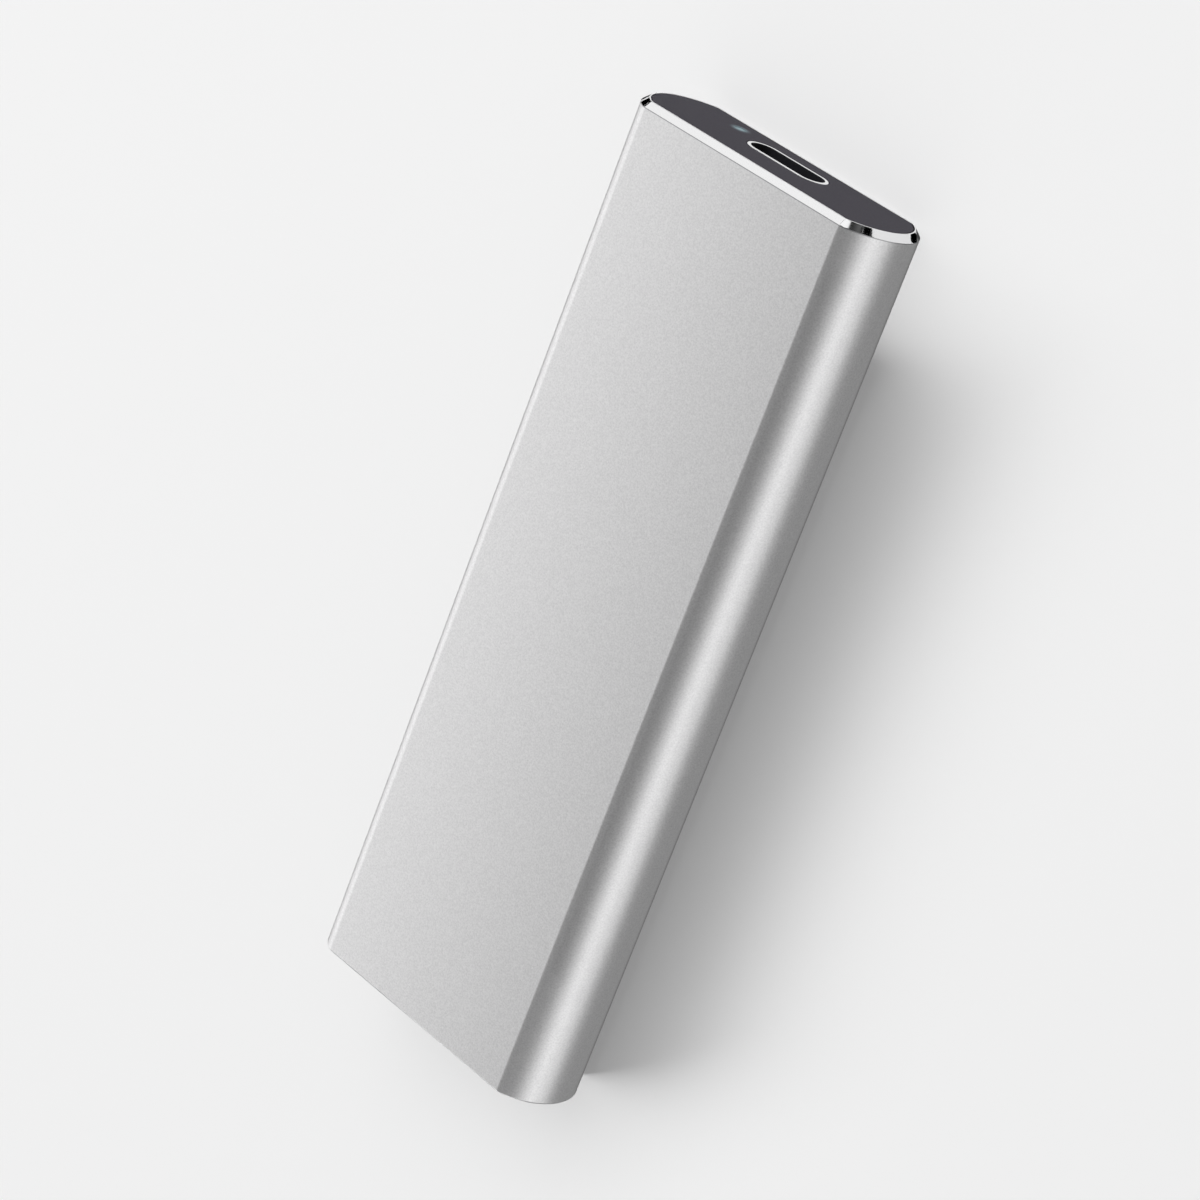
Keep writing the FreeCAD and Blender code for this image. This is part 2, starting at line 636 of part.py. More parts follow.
def make_card_board():
    """Card with a narrow edge to plug in, a key notch and a half-round notch for its fastening."""
    half = CARD_WIDTH / 2
    edge_half = card_edge_width / 2
    outline = [(-edge_half, card_front), (edge_half, card_front), (edge_half, card_shoulder),
               (half, card_shoulder), (half, card_rear), (-half, card_rear),
               (-half, card_shoulder), (-edge_half, card_shoulder)]
    face = profile([vector(x, y, card_bottom) for x, y in outline])
    plate = face.extrude(vector(0, 0, CARD_THICKNESS))
    depth = (card_bottom - CUT_MARGIN, card_top + CUT_MARGIN)
    key_end = card_front + KEY_DEPTH
    notch_y = (card_front - CUT_MARGIN, key_end - KEY_NOTCH / 2)
    notch = block(about(KEY_OFFSET, KEY_NOTCH), notch_y, depth)
    notch_end = post(KEY_OFFSET, key_end - KEY_NOTCH / 2, depth, KEY_NOTCH)
    half_round = post(0, card_rear, depth, 2 * CARD_NOTCH_RADIUS)
    return plate.cut([notch, notch_end, half_round])


def make_drive_controller():
    return chip(controller_x, controller_y, card_top, CONTROLLER_SIZE)


def make_card_power_chip():
    return chip(card_power_x, controller_y, card_top, CARD_POWER_SIZE)


def make_flash_package_1():
    return chip(0.0, flash_1_y, card_top, FLASH_SIZE)


def make_flash_package_2():
    return chip(0.0, flash_2_y, card_top, FLASH_SIZE)


def make_card_capacitors():
    """A column along each side of the memory packages."""
    x = (FLASH_SIZE[0] + CARD_WIDTH) / 4
    start = flash_1_y - FLASH_SIZE[1] / 2
    step = (flash_2_y + FLASH_SIZE[1] / 2 - start) / CARD_CAPACITOR_COUNT
    places = []
    for i in range(CARD_CAPACITOR_COUNT):
        y = start + (i + 0.5) * step
        places += [(-x, y), (x, y)]
    return small_parts(CAPACITOR_SIZE, places, card_top)


def make_card_standoff():
    """Turned standoff: a pilot in the board, a shoulder under the card and a collar in its notch."""
    pilot = STANDOFF_PILOT / 2
    shoulder = STANDOFF_DIAMETER / 2
    bore = THREAD_DIAMETER / 2
    bore_bottom = collar_top - THREAD_DEPTH
    points = [(0, board_bottom), (pilot, board_bottom), (pilot, board_top), (shoulder, board_top),
              (shoulder, card_bottom), (collar_radius, card_bottom), (collar_radius, collar_top),
              (bore, collar_top), (bore, bore_bottom), (0, bore_bottom)]
    half = profile([vector(r, card_rear, z) for r, z in points])
    return half.revolve(vector(0, card_rear, 0), vector(0, 0, 1), 360)


def make_card_screw():
    """Low round-headed screw with a cross recess."""
    shank = THREAD_DIAMETER / 2 - SCREW_FIT
    head = SCREW_HEAD / 2
    rim_z = card_top + SCREW_HEAD_HEIGHT / 2
    top_z = card_top + SCREW_HEAD_HEIGHT
    points = [(0, card_top - SCREW_SHANK), (shank, card_top - SCREW_SHANK), (shank, card_top),
              (head, card_top), (head, rim_z), (head - SCREW_DOME, top_z), (0, top_z)]
    half = profile([vector(r, card_rear, z) for r, z in points])
    body = half.revolve(vector(0, card_rear, 0), vector(0, 0, 1), 360)
    recess_z = (top_z - SCREW_SLOT_DEPTH, top_z + CUT_MARGIN)
    across = block(about(0, SCREW_SLOT_LENGTH), about(card_rear, SCREW_SLOT_WIDTH), recess_z)
    along = block(about(0, SCREW_SLOT_WIDTH), about(card_rear, SCREW_SLOT_LENGTH), recess_z)
    return body.cut([across, along])


def make_thermal_pad():
    """Soft pad between the memory packages and the sleeve's ceiling."""
    start = flash_1_y - FLASH_SIZE[1] / 2
    end = flash_2_y + FLASH_SIZE[1] / 2
    pad = block(about(0.0, PAD_WIDTH), (start, end), (chips_top, ceiling))
    return pad.makeFillet(PAD_CORNER, upright_edges(pad))


def make_insulating_film():
    """Thin sheet on the sleeve's floor between the ledges."""
    half = ledge_edge - FILM_GAP
    y_span = (cap_back + FILM_GAP, rear_cap_front - FILM_GAP)
    return block((-half, half), y_span, (WALL, WALL + FILM_THICKNESS))


PIECES = {
    "sleeve": make_sleeve,
    "port_cap": make_port_cap,
    "rear_cap": make_rear_cap,
    "light_pipe": make_light_pipe,
    "bridge_board": make_bridge_board,
    "port_shell": make_port_shell,
    "port_tongue": make_port_tongue,
    "port_contacts": make_port_contacts,
    "port_tails": make_port_tails,
    "status_led": make_status_led,
    "bridge_chip": make_bridge_chip,
    "firmware_chip": make_firmware_chip,
    "power_chip": make_power_chip,
    "power_inductor": make_power_inductor,
    "clock_crystal": make_clock_crystal,
    "board_capacitors": make_board_capacitors,
    "board_resistors": make_board_resistors,
    "card_socket": make_card_socket,
    "socket_tails": make_socket_tails,
    "card_board": make_card_board,
    "drive_controller": make_drive_controller,
    "card_power_chip": make_card_power_chip,
    "flash_package_1": make_flash_package_1,
    "flash_package_2": make_flash_package_2,
    "card_capacitors": make_card_capacitors,
    "card_standoff": make_card_standoff,
    "card_screw": make_card_screw,
    "thermal_pad": make_thermal_pad,
    "insulating_film": make_insulating_film,
}

os.makedirs("parts", exist_ok=True)
for name, make in PIECES.items():
    make().exportStep(f"parts/{name}.step")
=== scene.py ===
# %% [markdown]
# # A pocket drive in a silver sleeve
# The part is a flat tube of aluminium with round sides. A dark cap closes each end, and one cap
# holds an oval data port and a small lamp. The solids arrive at their real size and place, so this
# lesson only adds what the eye needs: finer edges, finishes, light and a camera.

# %% Load the frame
import json
import math

import bmesh
import bpy
from mathutils import Matrix, Vector


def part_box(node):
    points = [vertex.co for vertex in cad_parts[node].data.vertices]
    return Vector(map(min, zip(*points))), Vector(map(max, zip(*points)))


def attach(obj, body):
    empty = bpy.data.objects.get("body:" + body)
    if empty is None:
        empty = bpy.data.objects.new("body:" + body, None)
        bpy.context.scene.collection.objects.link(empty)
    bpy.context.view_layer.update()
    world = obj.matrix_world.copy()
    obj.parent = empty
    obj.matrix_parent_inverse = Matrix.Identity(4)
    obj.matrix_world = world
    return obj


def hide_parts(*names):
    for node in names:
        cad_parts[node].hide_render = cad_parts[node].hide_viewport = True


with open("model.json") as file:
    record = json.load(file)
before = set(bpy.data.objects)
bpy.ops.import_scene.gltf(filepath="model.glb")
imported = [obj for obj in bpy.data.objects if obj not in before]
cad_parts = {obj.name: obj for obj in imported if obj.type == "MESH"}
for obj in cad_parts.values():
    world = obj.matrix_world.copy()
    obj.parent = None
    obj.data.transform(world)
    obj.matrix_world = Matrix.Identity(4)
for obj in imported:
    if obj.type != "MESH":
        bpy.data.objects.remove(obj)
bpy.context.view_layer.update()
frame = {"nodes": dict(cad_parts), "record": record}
nodes = frame["nodes"]

# %% [markdown]
# ## Sizes
# What can be read from the solids is read from them, so that the dressing always fits. Only the
# sizes inside an outline, such as the depth of the bevel, are written down, in millimetres.

# %% Measure the solids
MM = 0.001
SIDE_BULGE = 3.0 * MM
CREASE = 1.0 * MM
INNER_CREASE = 0.3 * MM
WALL = 1.2 * MM
BEVEL = 0.6 * MM
BEVEL_CREASE = 0.4 * MM
LAND = 0.12 * MM
REAR_BREAK = 0.15 * MM

sleeve_low, sleeve_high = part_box("sleeve")
port_end = sleeve_low.y
rear_end = sleeve_high.y
half_height = sleeve_high.z / 2
side_radius = (SIDE_BULGE ** 2 + half_height ** 2) / (2 * SIDE_BULGE)
side_centre = sleeve_high.x - side_radius
print("side radius", round(side_radius / MM, 3), "mm")

# %% [markdown]
# ## The sleeve's outline
# The sleeve is drawn through a die, so one outline describes it all along. A quarter of that
# outline is a straight stretch, a tight crease and a long side arc. Each is a formula, which keeps
# the arcs truly round at any number of steps.

# %% A quarter of the outline
FLAT_STEPS = 10
CREASE_STEPS = 8
SIDE_STEPS = 30
SUPPORT = 0.06 * MM


def quarter(inset, crease):
    """Points from the middle of a flat face round to the middle of a side, seen from the axis."""
    flat = half_height - inset
    radius = side_radius - inset
    bend_z = flat - crease
    bend_x = side_centre + math.sqrt((radius - crease) ** 2 - bend_z ** 2)
    turn = math.atan2(bend_z, bend_x - side_centre)
    reach = bend_x - SUPPORT
    points = [(reach * i / FLAT_STEPS, flat) for i in range(FLAT_STEPS + 1)]
    for i in range(CREASE_STEPS):
        angle = math.pi / 2 + (turn - math.pi / 2) * i / CREASE_STEPS
        points.append((bend_x + crease * math.cos(angle), bend_z + crease * math.sin(angle)))
    for i in range(SIDE_STEPS + 1):
        angle = turn * (1 - i / SIDE_STEPS)
        points.append((side_centre + radius * math.cos(angle), radius * math.sin(angle)))
    return points


def full_ring(upper, lower, y):
    """A closed ring from an upper and a lower quarter, each mirrored to the other side."""
    right = upper + [(x, -z) for x, z in reversed(lower[:-1])]
    left = [(-x, z) for x, z in reversed(right[1:-1])]
    return [Vector((x, y, half_height + z)) for x, z in right + left]


def plain_ring(inset, y, crease):
    """A ring whose upper and lower halves are alike."""
    corner = quarter(inset, crease)
    return full_ring(corner, corner, y)


print("points round the sleeve", len(plain_ring(0.0, port_end, CREASE)))

# %% [markdown]
# Inside, two ledges carry the circuit board and a groove near each end takes the cap's snap bead.
# The inner outline keeps the same count of points as the outer one, so that rings of either kind
# can be joined point to point.

# %% The inner outline with its ledges
LEDGE_BITE = 0.7 * MM
GROOVE_BITE = 0.21 * MM
GROOVE_LIP = 0.02 * MM
BELOW_GROOVE = 6

board_low, board_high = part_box("bridge_board")
ledge_edge = board_high.x - LEDGE_BITE
ledge_z = half_height - board_low.z
groove_floor = half_height - board_high.z


def ledge_quarter(inset):
    """From the middle of the floor out to a ledge, across it and up the wall to its middle."""
    radius = side_radius - WALL
    floor = half_height - WALL
    foot = math.asin(ledge_z / radius)
    wall_x = side_centre + radius * math.cos(foot)
    points = [(ledge_edge * i / (FLAT_STEPS - 1), floor) for i in range(FLAT_STEPS)]
    points.append((ledge_edge, ledge_z))
    for i in range(1, CREASE_STEPS + 1):
        points.append((ledge_edge + (wall_x - ledge_edge) * i / CREASE_STEPS, ledge_z))
    bend = math.asin(groove_floor / radius)
    for i in range(1, BELOW_GROOVE + 1):
        angle = foot + (bend - foot) * i / BELOW_GROOVE
        points.append((side_centre + radius * math.cos(angle), radius * math.sin(angle)))
    radius = side_radius - inset
    start = math.asin((groove_floor - GROOVE_LIP) / radius)
    rest = SIDE_STEPS - BELOW_GROOVE
    for i in range(rest + 1):
        angle = start * (1 - i / rest)
        points.append((side_centre + radius * math.cos(angle), radius * math.sin(angle)))
    return points


def cavity_ring(inset, y):
    """A ring of the inner outline, plain above and with ledges below."""
    return full_ring(quarter(inset, INNER_CREASE), ledge_quarter(inset), y)


print("points round the cavity", len(cavity_ring(WALL, port_end)))

# %% [markdown]
# ## Soft edges
# No machined edge is perfectly sharp: a hair of roundness catches the light as a thin bright line.
# A bevel modifier could add it, but the bevel meets a crease at each corner and would twist there.
# Rounding the outline's own profile is cleaner. Each corner of the profile, given as inset and
# place along the length, becomes a short arc with a support ring on both sides.

# %% Round one corner of a profile
EDGE_STEPS = 3
MOUTH_EDGE = 0.03 * MM


def rounded(before, corner, after, radius, support):
    """The corner of a profile as an arc of that radius, between two support points."""
    here = Vector(corner)
    ahead = (Vector(after) - here).normalized()
    behind = (Vector(before) - here).normalized()
    half_angle = ahead.angle(behind) / 2
    reach = radius / math.tan(half_angle)
    centre = here + (ahead + behind).normalized() * radius / math.sin(half_angle)
    first = (here + behind * reach - centre).normalized()
    last = (here + ahead * reach - centre).normalized()
    arc = [centre + first.slerp(last, i / EDGE_STEPS) * radius for i in range(EDGE_STEPS + 1)]
    return [here + behind * (reach + support)] + arc + [here + ahead * (reach + support)]


sample = rounded((BEVEL + LAND, 0.0), (BEVEL, 0.0), (0.0, BEVEL), MOUTH_EDGE, MOUTH_EDGE)
print("a soft edge has", len(sample), "rings")

# %% [markdown]
# ## The sleeve
# The rings run in one endless loop: over the mouth's flat land, down the bevel, along the outside,
# round the plain end, and back along the inside. Joining each ring to the next gives one closed
# tube. The bevel is cut with a diamond after the tube is blasted and anodised, so its rows get a
# finish of their own. The few rows at its foot get a third, darker finish: a thin line of painted
# shade along that edge.

# %% Keep rings with their finishes
BLASTED = 0
POLISHED = 1
# The third finish paints shade: a thin darker line where the bevel meets the body.
EDGE_PAINTED_SHADE = 2

rings = []
finish_rows = []


def add_ring(ring, finish):
    """Keep a ring, and the finish of the faces that follow it."""
    rings.append(ring)
    finish_rows.append(finish)


def crease_at(y):
    """The crease grows from tight at the bevel's inner edge to its full radius on the body."""
    share = min(max((y - port_end) / BEVEL, 0.0), 1.0)
    return BEVEL_CREASE + (CREASE - BEVEL_CREASE) * share


def add_profile(points, finish):
    """Keep a plain ring for each point of a profile."""
    for inset, y in points:
        add_ring(plain_ring(inset, y, crease_at(y)), finish)


print("crease at the mouth", round(crease_at(port_end) / MM, 2), "mm")

# %% List the rings outside
BODY_EDGE = 0.04 * MM
REAR_EDGE = 0.05 * MM
BODY_STEPS = 22

rim = BEVEL + LAND
body_start = (0.0, port_end + BEVEL)
body_end = (0.0, rear_end - REAR_BREAK)
mouth = (BEVEL, port_end)
add_ring(plain_ring(rim, port_end, INNER_CREASE), POLISHED)
add_profile(rounded((rim, port_end), mouth, body_start, MOUTH_EDGE, MOUTH_EDGE), POLISHED)
shoulder = rounded(mouth, body_start, body_end, BODY_EDGE, SUPPORT)
add_profile(shoulder[:1], POLISHED)
# The rounded rows at the bevel's foot carry the line of painted shade.
add_profile(shoulder[1:-1], EDGE_PAINTED_SHADE)
add_profile(shoulder[-1:], BLASTED)
for i in range(1, BODY_STEPS):
    along = body_start[1] + (body_end[1] - body_start[1]) * i / BODY_STEPS
    add_profile([(0.0, along)], BLASTED)
tail = (REAR_BREAK, rear_end)
add_profile(rounded(body_start, body_end, tail, REAR_EDGE, SUPPORT), BLASTED)
add_profile(rounded(body_end, tail, (rim, rear_end), REAR_EDGE, SUPPORT), BLASTED)
print("rings outside", len(rings))

# %% [markdown]
# Inside there is a seat for each cap and a groove for its snap bead. None of it shows while the
# caps are on, but it gives the wall its true thickness, and the mouth its thin lip. So the rings go
# on along the inside until they meet the first one.

# %% Close the loop along the inside
SKIRT_DEPTH = 4.0 * MM
BEAD_INSET = 0.8 * MM
BEAD_WIDTH = 0.8 * MM
BEAD_GAP = 0.06 * MM

cap_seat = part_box("bridge_board")[0].y
rear_seat = rear_end - (cap_seat - port_end)


def add_groove(bead_start):
    """Four rings: down into a snap groove and out of it again, towards the port end."""
    far = bead_start + BEAD_WIDTH + BEAD_GAP
    near = bead_start - BEAD_GAP
    for y, inset in ((far, WALL), (far, WALL - GROOVE_BITE), (near, WALL - GROOVE_BITE), (near, WALL)):
        add_ring(cavity_ring(inset, y), BLASTED)


add_ring(plain_ring(rim, rear_end, INNER_CREASE), BLASTED)
add_ring(plain_ring(rim, rear_seat, INNER_CREASE), BLASTED)
add_ring(cavity_ring(WALL, rear_seat), BLASTED)
add_groove(rear_seat - SKIRT_DEPTH + BEAD_INSET)
add_groove(cap_seat + SKIRT_DEPTH - BEAD_INSET - BEAD_WIDTH)
add_ring(cavity_ring(WALL, cap_seat), BLASTED)
add_ring(plain_ring(rim, cap_seat, INNER_CREASE), BLASTED)
print("rings in all", len(rings))

# %% [markdown]
# A skin of four-sided faces joins each ring to the next. It could be drawn as a curve with a bevel
# object, but a bmesh keeps every face in order, so each gets its finish as it is made. Smooth
# shading, with edges kept sharp from an angle on, leaves the arcs round and the corners crisp.

# %% Join the rings to one tube
SHARP_FROM = math.radians(32)


def make_piece(name, work, body="root"):
    """Turn a bmesh into a shaded object that rides on the part."""
    bmesh.ops.recalc_face_normals(work, faces=work.faces)
    mesh = bpy.data.meshes.new(name)
    work.to_mesh(mesh)
    work.free()
    mesh.shade_smooth()
    mesh.set_sharp_from_angle(angle=SHARP_FROM)
    piece = bpy.data.objects.new(name, mesh)
    bpy.context.scene.collection.objects.link(piece)
    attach(piece, body)
    return piece


def join_rings(work, loops, finishes):
    """Faces between each ring and the next, and from the last ring back to the first."""
    rows = [[work.verts.new(point) for point in loop] for loop in loops]
    count = len(rows[0])
    for i, row in enumerate(rows):
        following = rows[(i + 1) % len(rows)]
        for j in range(count):
            k = (j + 1) % count
            face = work.faces.new((row[j], row[k], following[k], following[j]))
            face.material_index = finishes[i]


tube = bmesh.new()
join_rings(tube, rings, finish_rows)
sleeve = make_piece("silver_sleeve", tube)
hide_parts("sleeve")
print("sleeve faces", len(sleeve.data.polygons))

# %% [markdown]
# ## The port's shell
# The port is a thin steel oval, drawn from sheet. What shows is its rim, a bright ring. The solid
# has a plain flare there, and here the rim is rolled over, so that the ring glints all round. The
# same loop of rings serves: only the outline is an oval.

# %% Rings of the oval shell
PORT_WALL = 0.4 * MM
RIM_OUTER = 0.05 * MM
RIM_INNER = 0.07 * MM
RIM_SUPPORT = 0.01 * MM
END_STEPS = 24
TOP_STEPS = 8
BRIGHT = 0
# The bore's rows get a near-black finish: painted shade inside the opening.
BORE_PAINTED_SHADE = 1

shell_low, shell_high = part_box("port_shell")
port_front = shell_low.y
port_back = shell_high.y
port_mount = [m for m in frame["record"]["mounts"] if m["name"] == "data_port"][0]
port_z = port_mount["pos_m"][2]
oval_radius = shell_high.z - port_z
oval_reach = shell_high.x - oval_radius


def oval_ring(inset, y):
    """The port's outline moved in: two straight stretches and two half circles."""
    radius = oval_radius - inset
    points = []
    for side in (1, -1):
        for i in range(TOP_STEPS):
            points.append((side * oval_reach * (2 * i / TOP_STEPS - 1), side * radius))
        for i in range(END_STEPS):
            angle = math.pi * (0.5 - i / END_STEPS)
            points.append((side * (oval_reach + radius * math.cos(angle)), side * radius * math.sin(angle)))
    return [Vector((x, y, port_z + z)) for x, z in points]


outer_back = (0.0, port_back)
outer_front = (0.0, port_front)
inner_front = (PORT_WALL, port_front)
inner_back = (PORT_WALL, port_back)
shell_profile = [outer_back]
shell_profile += rounded(outer_back, outer_front, inner_front, RIM_OUTER, RIM_SUPPORT)
rim_rows = len(shell_profile) + 1
shell_profile += rounded(outer_front, inner_front, inner_back, RIM_INNER, RIM_SUPPORT)
bore_rows = len(shell_profile) - rim_rows
shell_profile.append(inner_back)
# From the inner rounding inwards the bore wears the painted shade; the rim stays bright.
shell_finishes = [BRIGHT] * rim_rows + [BORE_PAINTED_SHADE] * bore_rows + [BRIGHT]

shell_work = bmesh.new()
join_rings(shell_work, [oval_ring(inset, y) for inset, y in shell_profile], shell_finishes)
port_shell = make_piece("port_shell_rolled", shell_work)
print("shell faces", len(port_shell.data.polygons))

# %% [markdown]
# Four flat legs run from the shell down through the board, where they are soldered. Each is a block
# with eased edges. Its outer face lies a hair inside the shell's, because a boolean can stumble
# over two faces in one plane.

# %% Add the legs
LEG_THICKNESS = 0.3 * MM
LEG_WIDTH = 1.0 * MM
LEG_SETBACKS = (2.9 * MM, 6.3 * MM)
LEG_EDGE = 0.05 * MM
BITE = 0.02 * MM


def leg_block(work, side, setback):
    """One leg as a block with eased edges, from the shell's middle down through the board."""
    made = bmesh.ops.create_cube(work, size=1.0)["verts"]
    size = Vector((LEG_THICKNESS - BITE, LEG_WIDTH, port_z - shell_low.z))
    centre_x = side * (shell_high.x - LEG_THICKNESS / 2 - BITE / 2)
    centre = Vector((centre_x, port_front + setback, (port_z + shell_low.z) / 2))
    for vert in made:
        vert.co = centre + Vector(a * b for a, b in zip(vert.co, size))
    edges = {edge for vert in made for edge in vert.link_edges}
    bmesh.ops.bevel(work, geom=list(edges), offset=LEG_EDGE, segments=2, affect="EDGES")


legs_work = bmesh.new()
for setback in LEG_SETBACKS:
    for side in (-1, 1):
        leg_block(legs_work, side, setback)
legs = make_piece("port_legs", legs_work)
print("leg faces", len(legs.data.polygons))

# %% [markdown]
# On the real port shell and legs are one piece of sheet, so a boolean makes them one. Its result is
# kept as the mesh, and the legs' own object can go.

# %% Join shell and legs
union = port_shell.modifiers.new("join_legs", "BOOLEAN")
union.operation = "UNION"
union.solver = "EXACT"
union.object = legs
joined = bpy.data.meshes.new_from_object(port_shell.evaluated_get(bpy.context.evaluated_depsgraph_get()))
port_shell.modifiers.remove(union)
port_shell.data = joined
joined.set_sharp_from_angle(angle=SHARP_FROM)
bpy.data.objects.remove(legs)
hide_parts("port_shell")
print("joined shell faces", len(port_shell.data.polygons))

# %% [markdown]
# ## The light pipe
# A clear pin carries the lamp's light through the cap. It is round all along, so its half profile is
# spun about its own axis, which a lathe would do as well. Its tip is a shallow dome that comes level
# with the cap's face, and a shoulder behind it keeps the pin in its hole.

# %% Spin the pin
PIPE_STEP = 0.84 * MM
PIPE_TIP_RADIUS = 0.5 * MM
DOME_DROP = 0.06 * MM
DOME_STEPS = 6
SPIN_STEPS = 48
WELD = 0.0001 * MM

pipe_low, pipe_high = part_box("light_pipe")
pipe_x = (pipe_low.x + pipe_high.x) / 2
pipe_z = (pipe_low.z + pipe_high.z) / 2
pipe_radius = (pipe_high.x - pipe_low.x) / 2

pin_profile = []
for i in range(DOME_STEPS + 1):
    share = i / DOME_STEPS
    pin_profile.append((PIPE_TIP_RADIUS * share, pipe_low.y + DOME_DROP * share ** 2))
pin_profile += [(PIPE_TIP_RADIUS, pipe_low.y + PIPE_STEP), (pipe_radius, pipe_low.y + PIPE_STEP)]
pin_profile += [(pipe_radius, pipe_high.y), (0.0, pipe_high.y)]

pin_work = bmesh.new()
pin_verts = [pin_work.verts.new((pipe_x + r, y, pipe_z)) for r, y in pin_profile]
pin_edges = [pin_work.edges.new(pair) for pair in zip(pin_verts, pin_verts[1:])]
bmesh.ops.spin(pin_work, geom=pin_verts + pin_edges, cent=(pipe_x, 0.0, pipe_z), axis=(0.0, 1.0, 0.0),
               angle=2 * math.pi, steps=SPIN_STEPS, use_merge=True)
bmesh.ops.remove_doubles(pin_work, verts=pin_work.verts, dist=WELD)
light_pipe = make_piece("light_pipe_pin", pin_work)
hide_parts("light_pipe")
print("pin faces", len(light_pipe.data.polygons))

# %% [markdown]
# ## Shared grain
# Blasting, moulding and sawing all leave a fine grain, at different sizes. One node group makes it
# for every finish: a noise in true millimetres, so a grain of 0.2 is a fifth of a millimetre on any
# piece. It puts out a shade for colour and roughness, and a height for the bump.

# %% Make the grain group
GRAIN_DETAIL = 2.5
GRAIN_ROUGHNESS = 0.6
GRAIN_MIDDLE = 0.5


def new_group(name, inputs, outputs):
    """An empty node group with named sockets, and its two end nodes."""
    tree = bpy.data.node_groups.new(name, "ShaderNodeTree")
    for label, value in inputs:
        socket = tree.interface.new_socket(label, in_out="INPUT", socket_type="NodeSocketFloat")
        socket.default_value = value
    for label in outputs:
        tree.interface.new_socket(label, in_out="OUTPUT", socket_type="NodeSocketFloat")
    return tree, tree.nodes.new("NodeGroupInput"), tree.nodes.new("NodeGroupOutput")


def add_node(tree, kind, **settings):
    """A node with its settings made in one go."""
    node = tree.nodes.new(kind)
    for key, value in settings.items():
        setattr(node, key, value)
    return node


def make_grain_group():
    """Noise of a size in millimetres, with its contrast set by the spread."""
    tree, start, end = new_group("fine_grain", [("Size", 0.2), ("Spread", 0.5)], ["Shade", "Height"])
    place = add_node(tree, "ShaderNodeTexCoord")
    count = add_node(tree, "ShaderNodeMath", operation="DIVIDE")
    count.inputs[0].default_value = 1.0 / MM
    grain = add_node(tree, "ShaderNodeTexNoise", noise_dimensions="3D")
    grain.inputs["Detail"].default_value = GRAIN_DETAIL
    grain.inputs["Roughness"].default_value = GRAIN_ROUGHNESS
    spread = add_node(tree, "ShaderNodeMapRange")
    low = add_node(tree, "ShaderNodeMath", operation="SUBTRACT")
    low.inputs[0].default_value = GRAIN_MIDDLE
    high = add_node(tree, "ShaderNodeMath", operation="ADD")
    high.inputs[0].default_value = GRAIN_MIDDLE
    link = tree.links.new
    link(start.outputs["Size"], count.inputs[1])
    link(place.outputs["Object"], grain.inputs["Vector"])
    link(count.outputs[0], grain.inputs["Scale"])
    link(start.outputs["Spread"], low.inputs[1])
    link(start.outputs["Spread"], high.inputs[1])
    link(grain.outputs["Fac"], spread.inputs["Value"])
    link(low.outputs[0], spread.inputs["From Min"])
    link(high.outputs[0], spread.inputs["From Max"])
    link(spread.outputs["Result"], end.inputs["Shade"])
    link(grain.outputs["Fac"], end.inputs["Height"])
    return tree


grain_group = make_grain_group()
print("group", grain_group.name, "with", len(grain_group.nodes), "nodes")

# %% [markdown]
# ## A finish in one call
# Most finishes are two near colours, a range of roughness and a bump, all led by the grain. One
# function builds that; what is special to a finish is added to its nodes afterwards. A Mix node has
# sockets for every kind of data, so the ones for colour are picked by number.

# %% Define a finish
MIX_A = 6
MIX_B = 7
MIX_RESULT = 2


def new_finish(name, dark, light, rough, metallic=0.0, size=0.2, spread=0.25, bump=0.01, specular=0.5):
    """A Principled finish whose colour, roughness and bump follow the grain."""
    material = bpy.data.materials.new(name)
    material.use_nodes = True
    tree = material.node_tree
    shader = tree.nodes["Principled BSDF"]
    shader.inputs["Metallic"].default_value = metallic
    shader.inputs["Specular IOR Level"].default_value = specular
    grain = add_node(tree, "ShaderNodeGroup", node_tree=grain_group, label="grain")
    grain.inputs["Size"].default_value = size
    grain.inputs["Spread"].default_value = spread
    colour = add_node(tree, "ShaderNodeMix", data_type="RGBA", label="colour")
    colour.inputs[MIX_A].default_value = (*dark, 1.0)
    colour.inputs[MIX_B].default_value = (*light, 1.0)
    gloss = add_node(tree, "ShaderNodeMapRange", label="gloss")
    gloss.inputs["To Min"].default_value = rough[0]
    gloss.inputs["To Max"].default_value = rough[1]
    relief = add_node(tree, "ShaderNodeBump", label="relief")
    relief.inputs["Strength"].default_value = 1.0
    relief.inputs["Distance"].default_value = bump * MM
    link = tree.links.new
    link(grain.outputs["Shade"], colour.inputs[0])
    link(colour.outputs[MIX_RESULT], shader.inputs["Base Color"])
    link(grain.outputs["Shade"], gloss.inputs["Value"])
    link(gloss.outputs["Result"], shader.inputs["Roughness"])
    link(grain.outputs["Height"], relief.inputs["Height"])
    link(relief.outputs["Normal"], shader.inputs["Normal"])
    return material


print("finish maker ready")

# %% [markdown]
# ## Blasted and polished aluminium
# The sleeve was blasted with fine beads and anodised clear: a soft, even silver whose reflections
# blur. A strong bump would leave dark specks, so most of the grain is in the colour. The
# diamond-cut bevel is the same metal left almost mirror bright; a darker grey at its foot is painted shade.

# %% Finish the sleeve
blasted = new_finish("blasted_aluminium", (0.68, 0.677, 0.682), (0.875, 0.872, 0.875), (0.28, 0.32),
                     metallic=1.0, size=0.16, spread=0.25, bump=0.001)
polished = new_finish("polished_bevel", (0.83, 0.83, 0.835), (0.87, 0.87, 0.875), (0.06, 0.09),
                      metallic=1.0, size=0.06, spread=0.3, bump=0.0002)
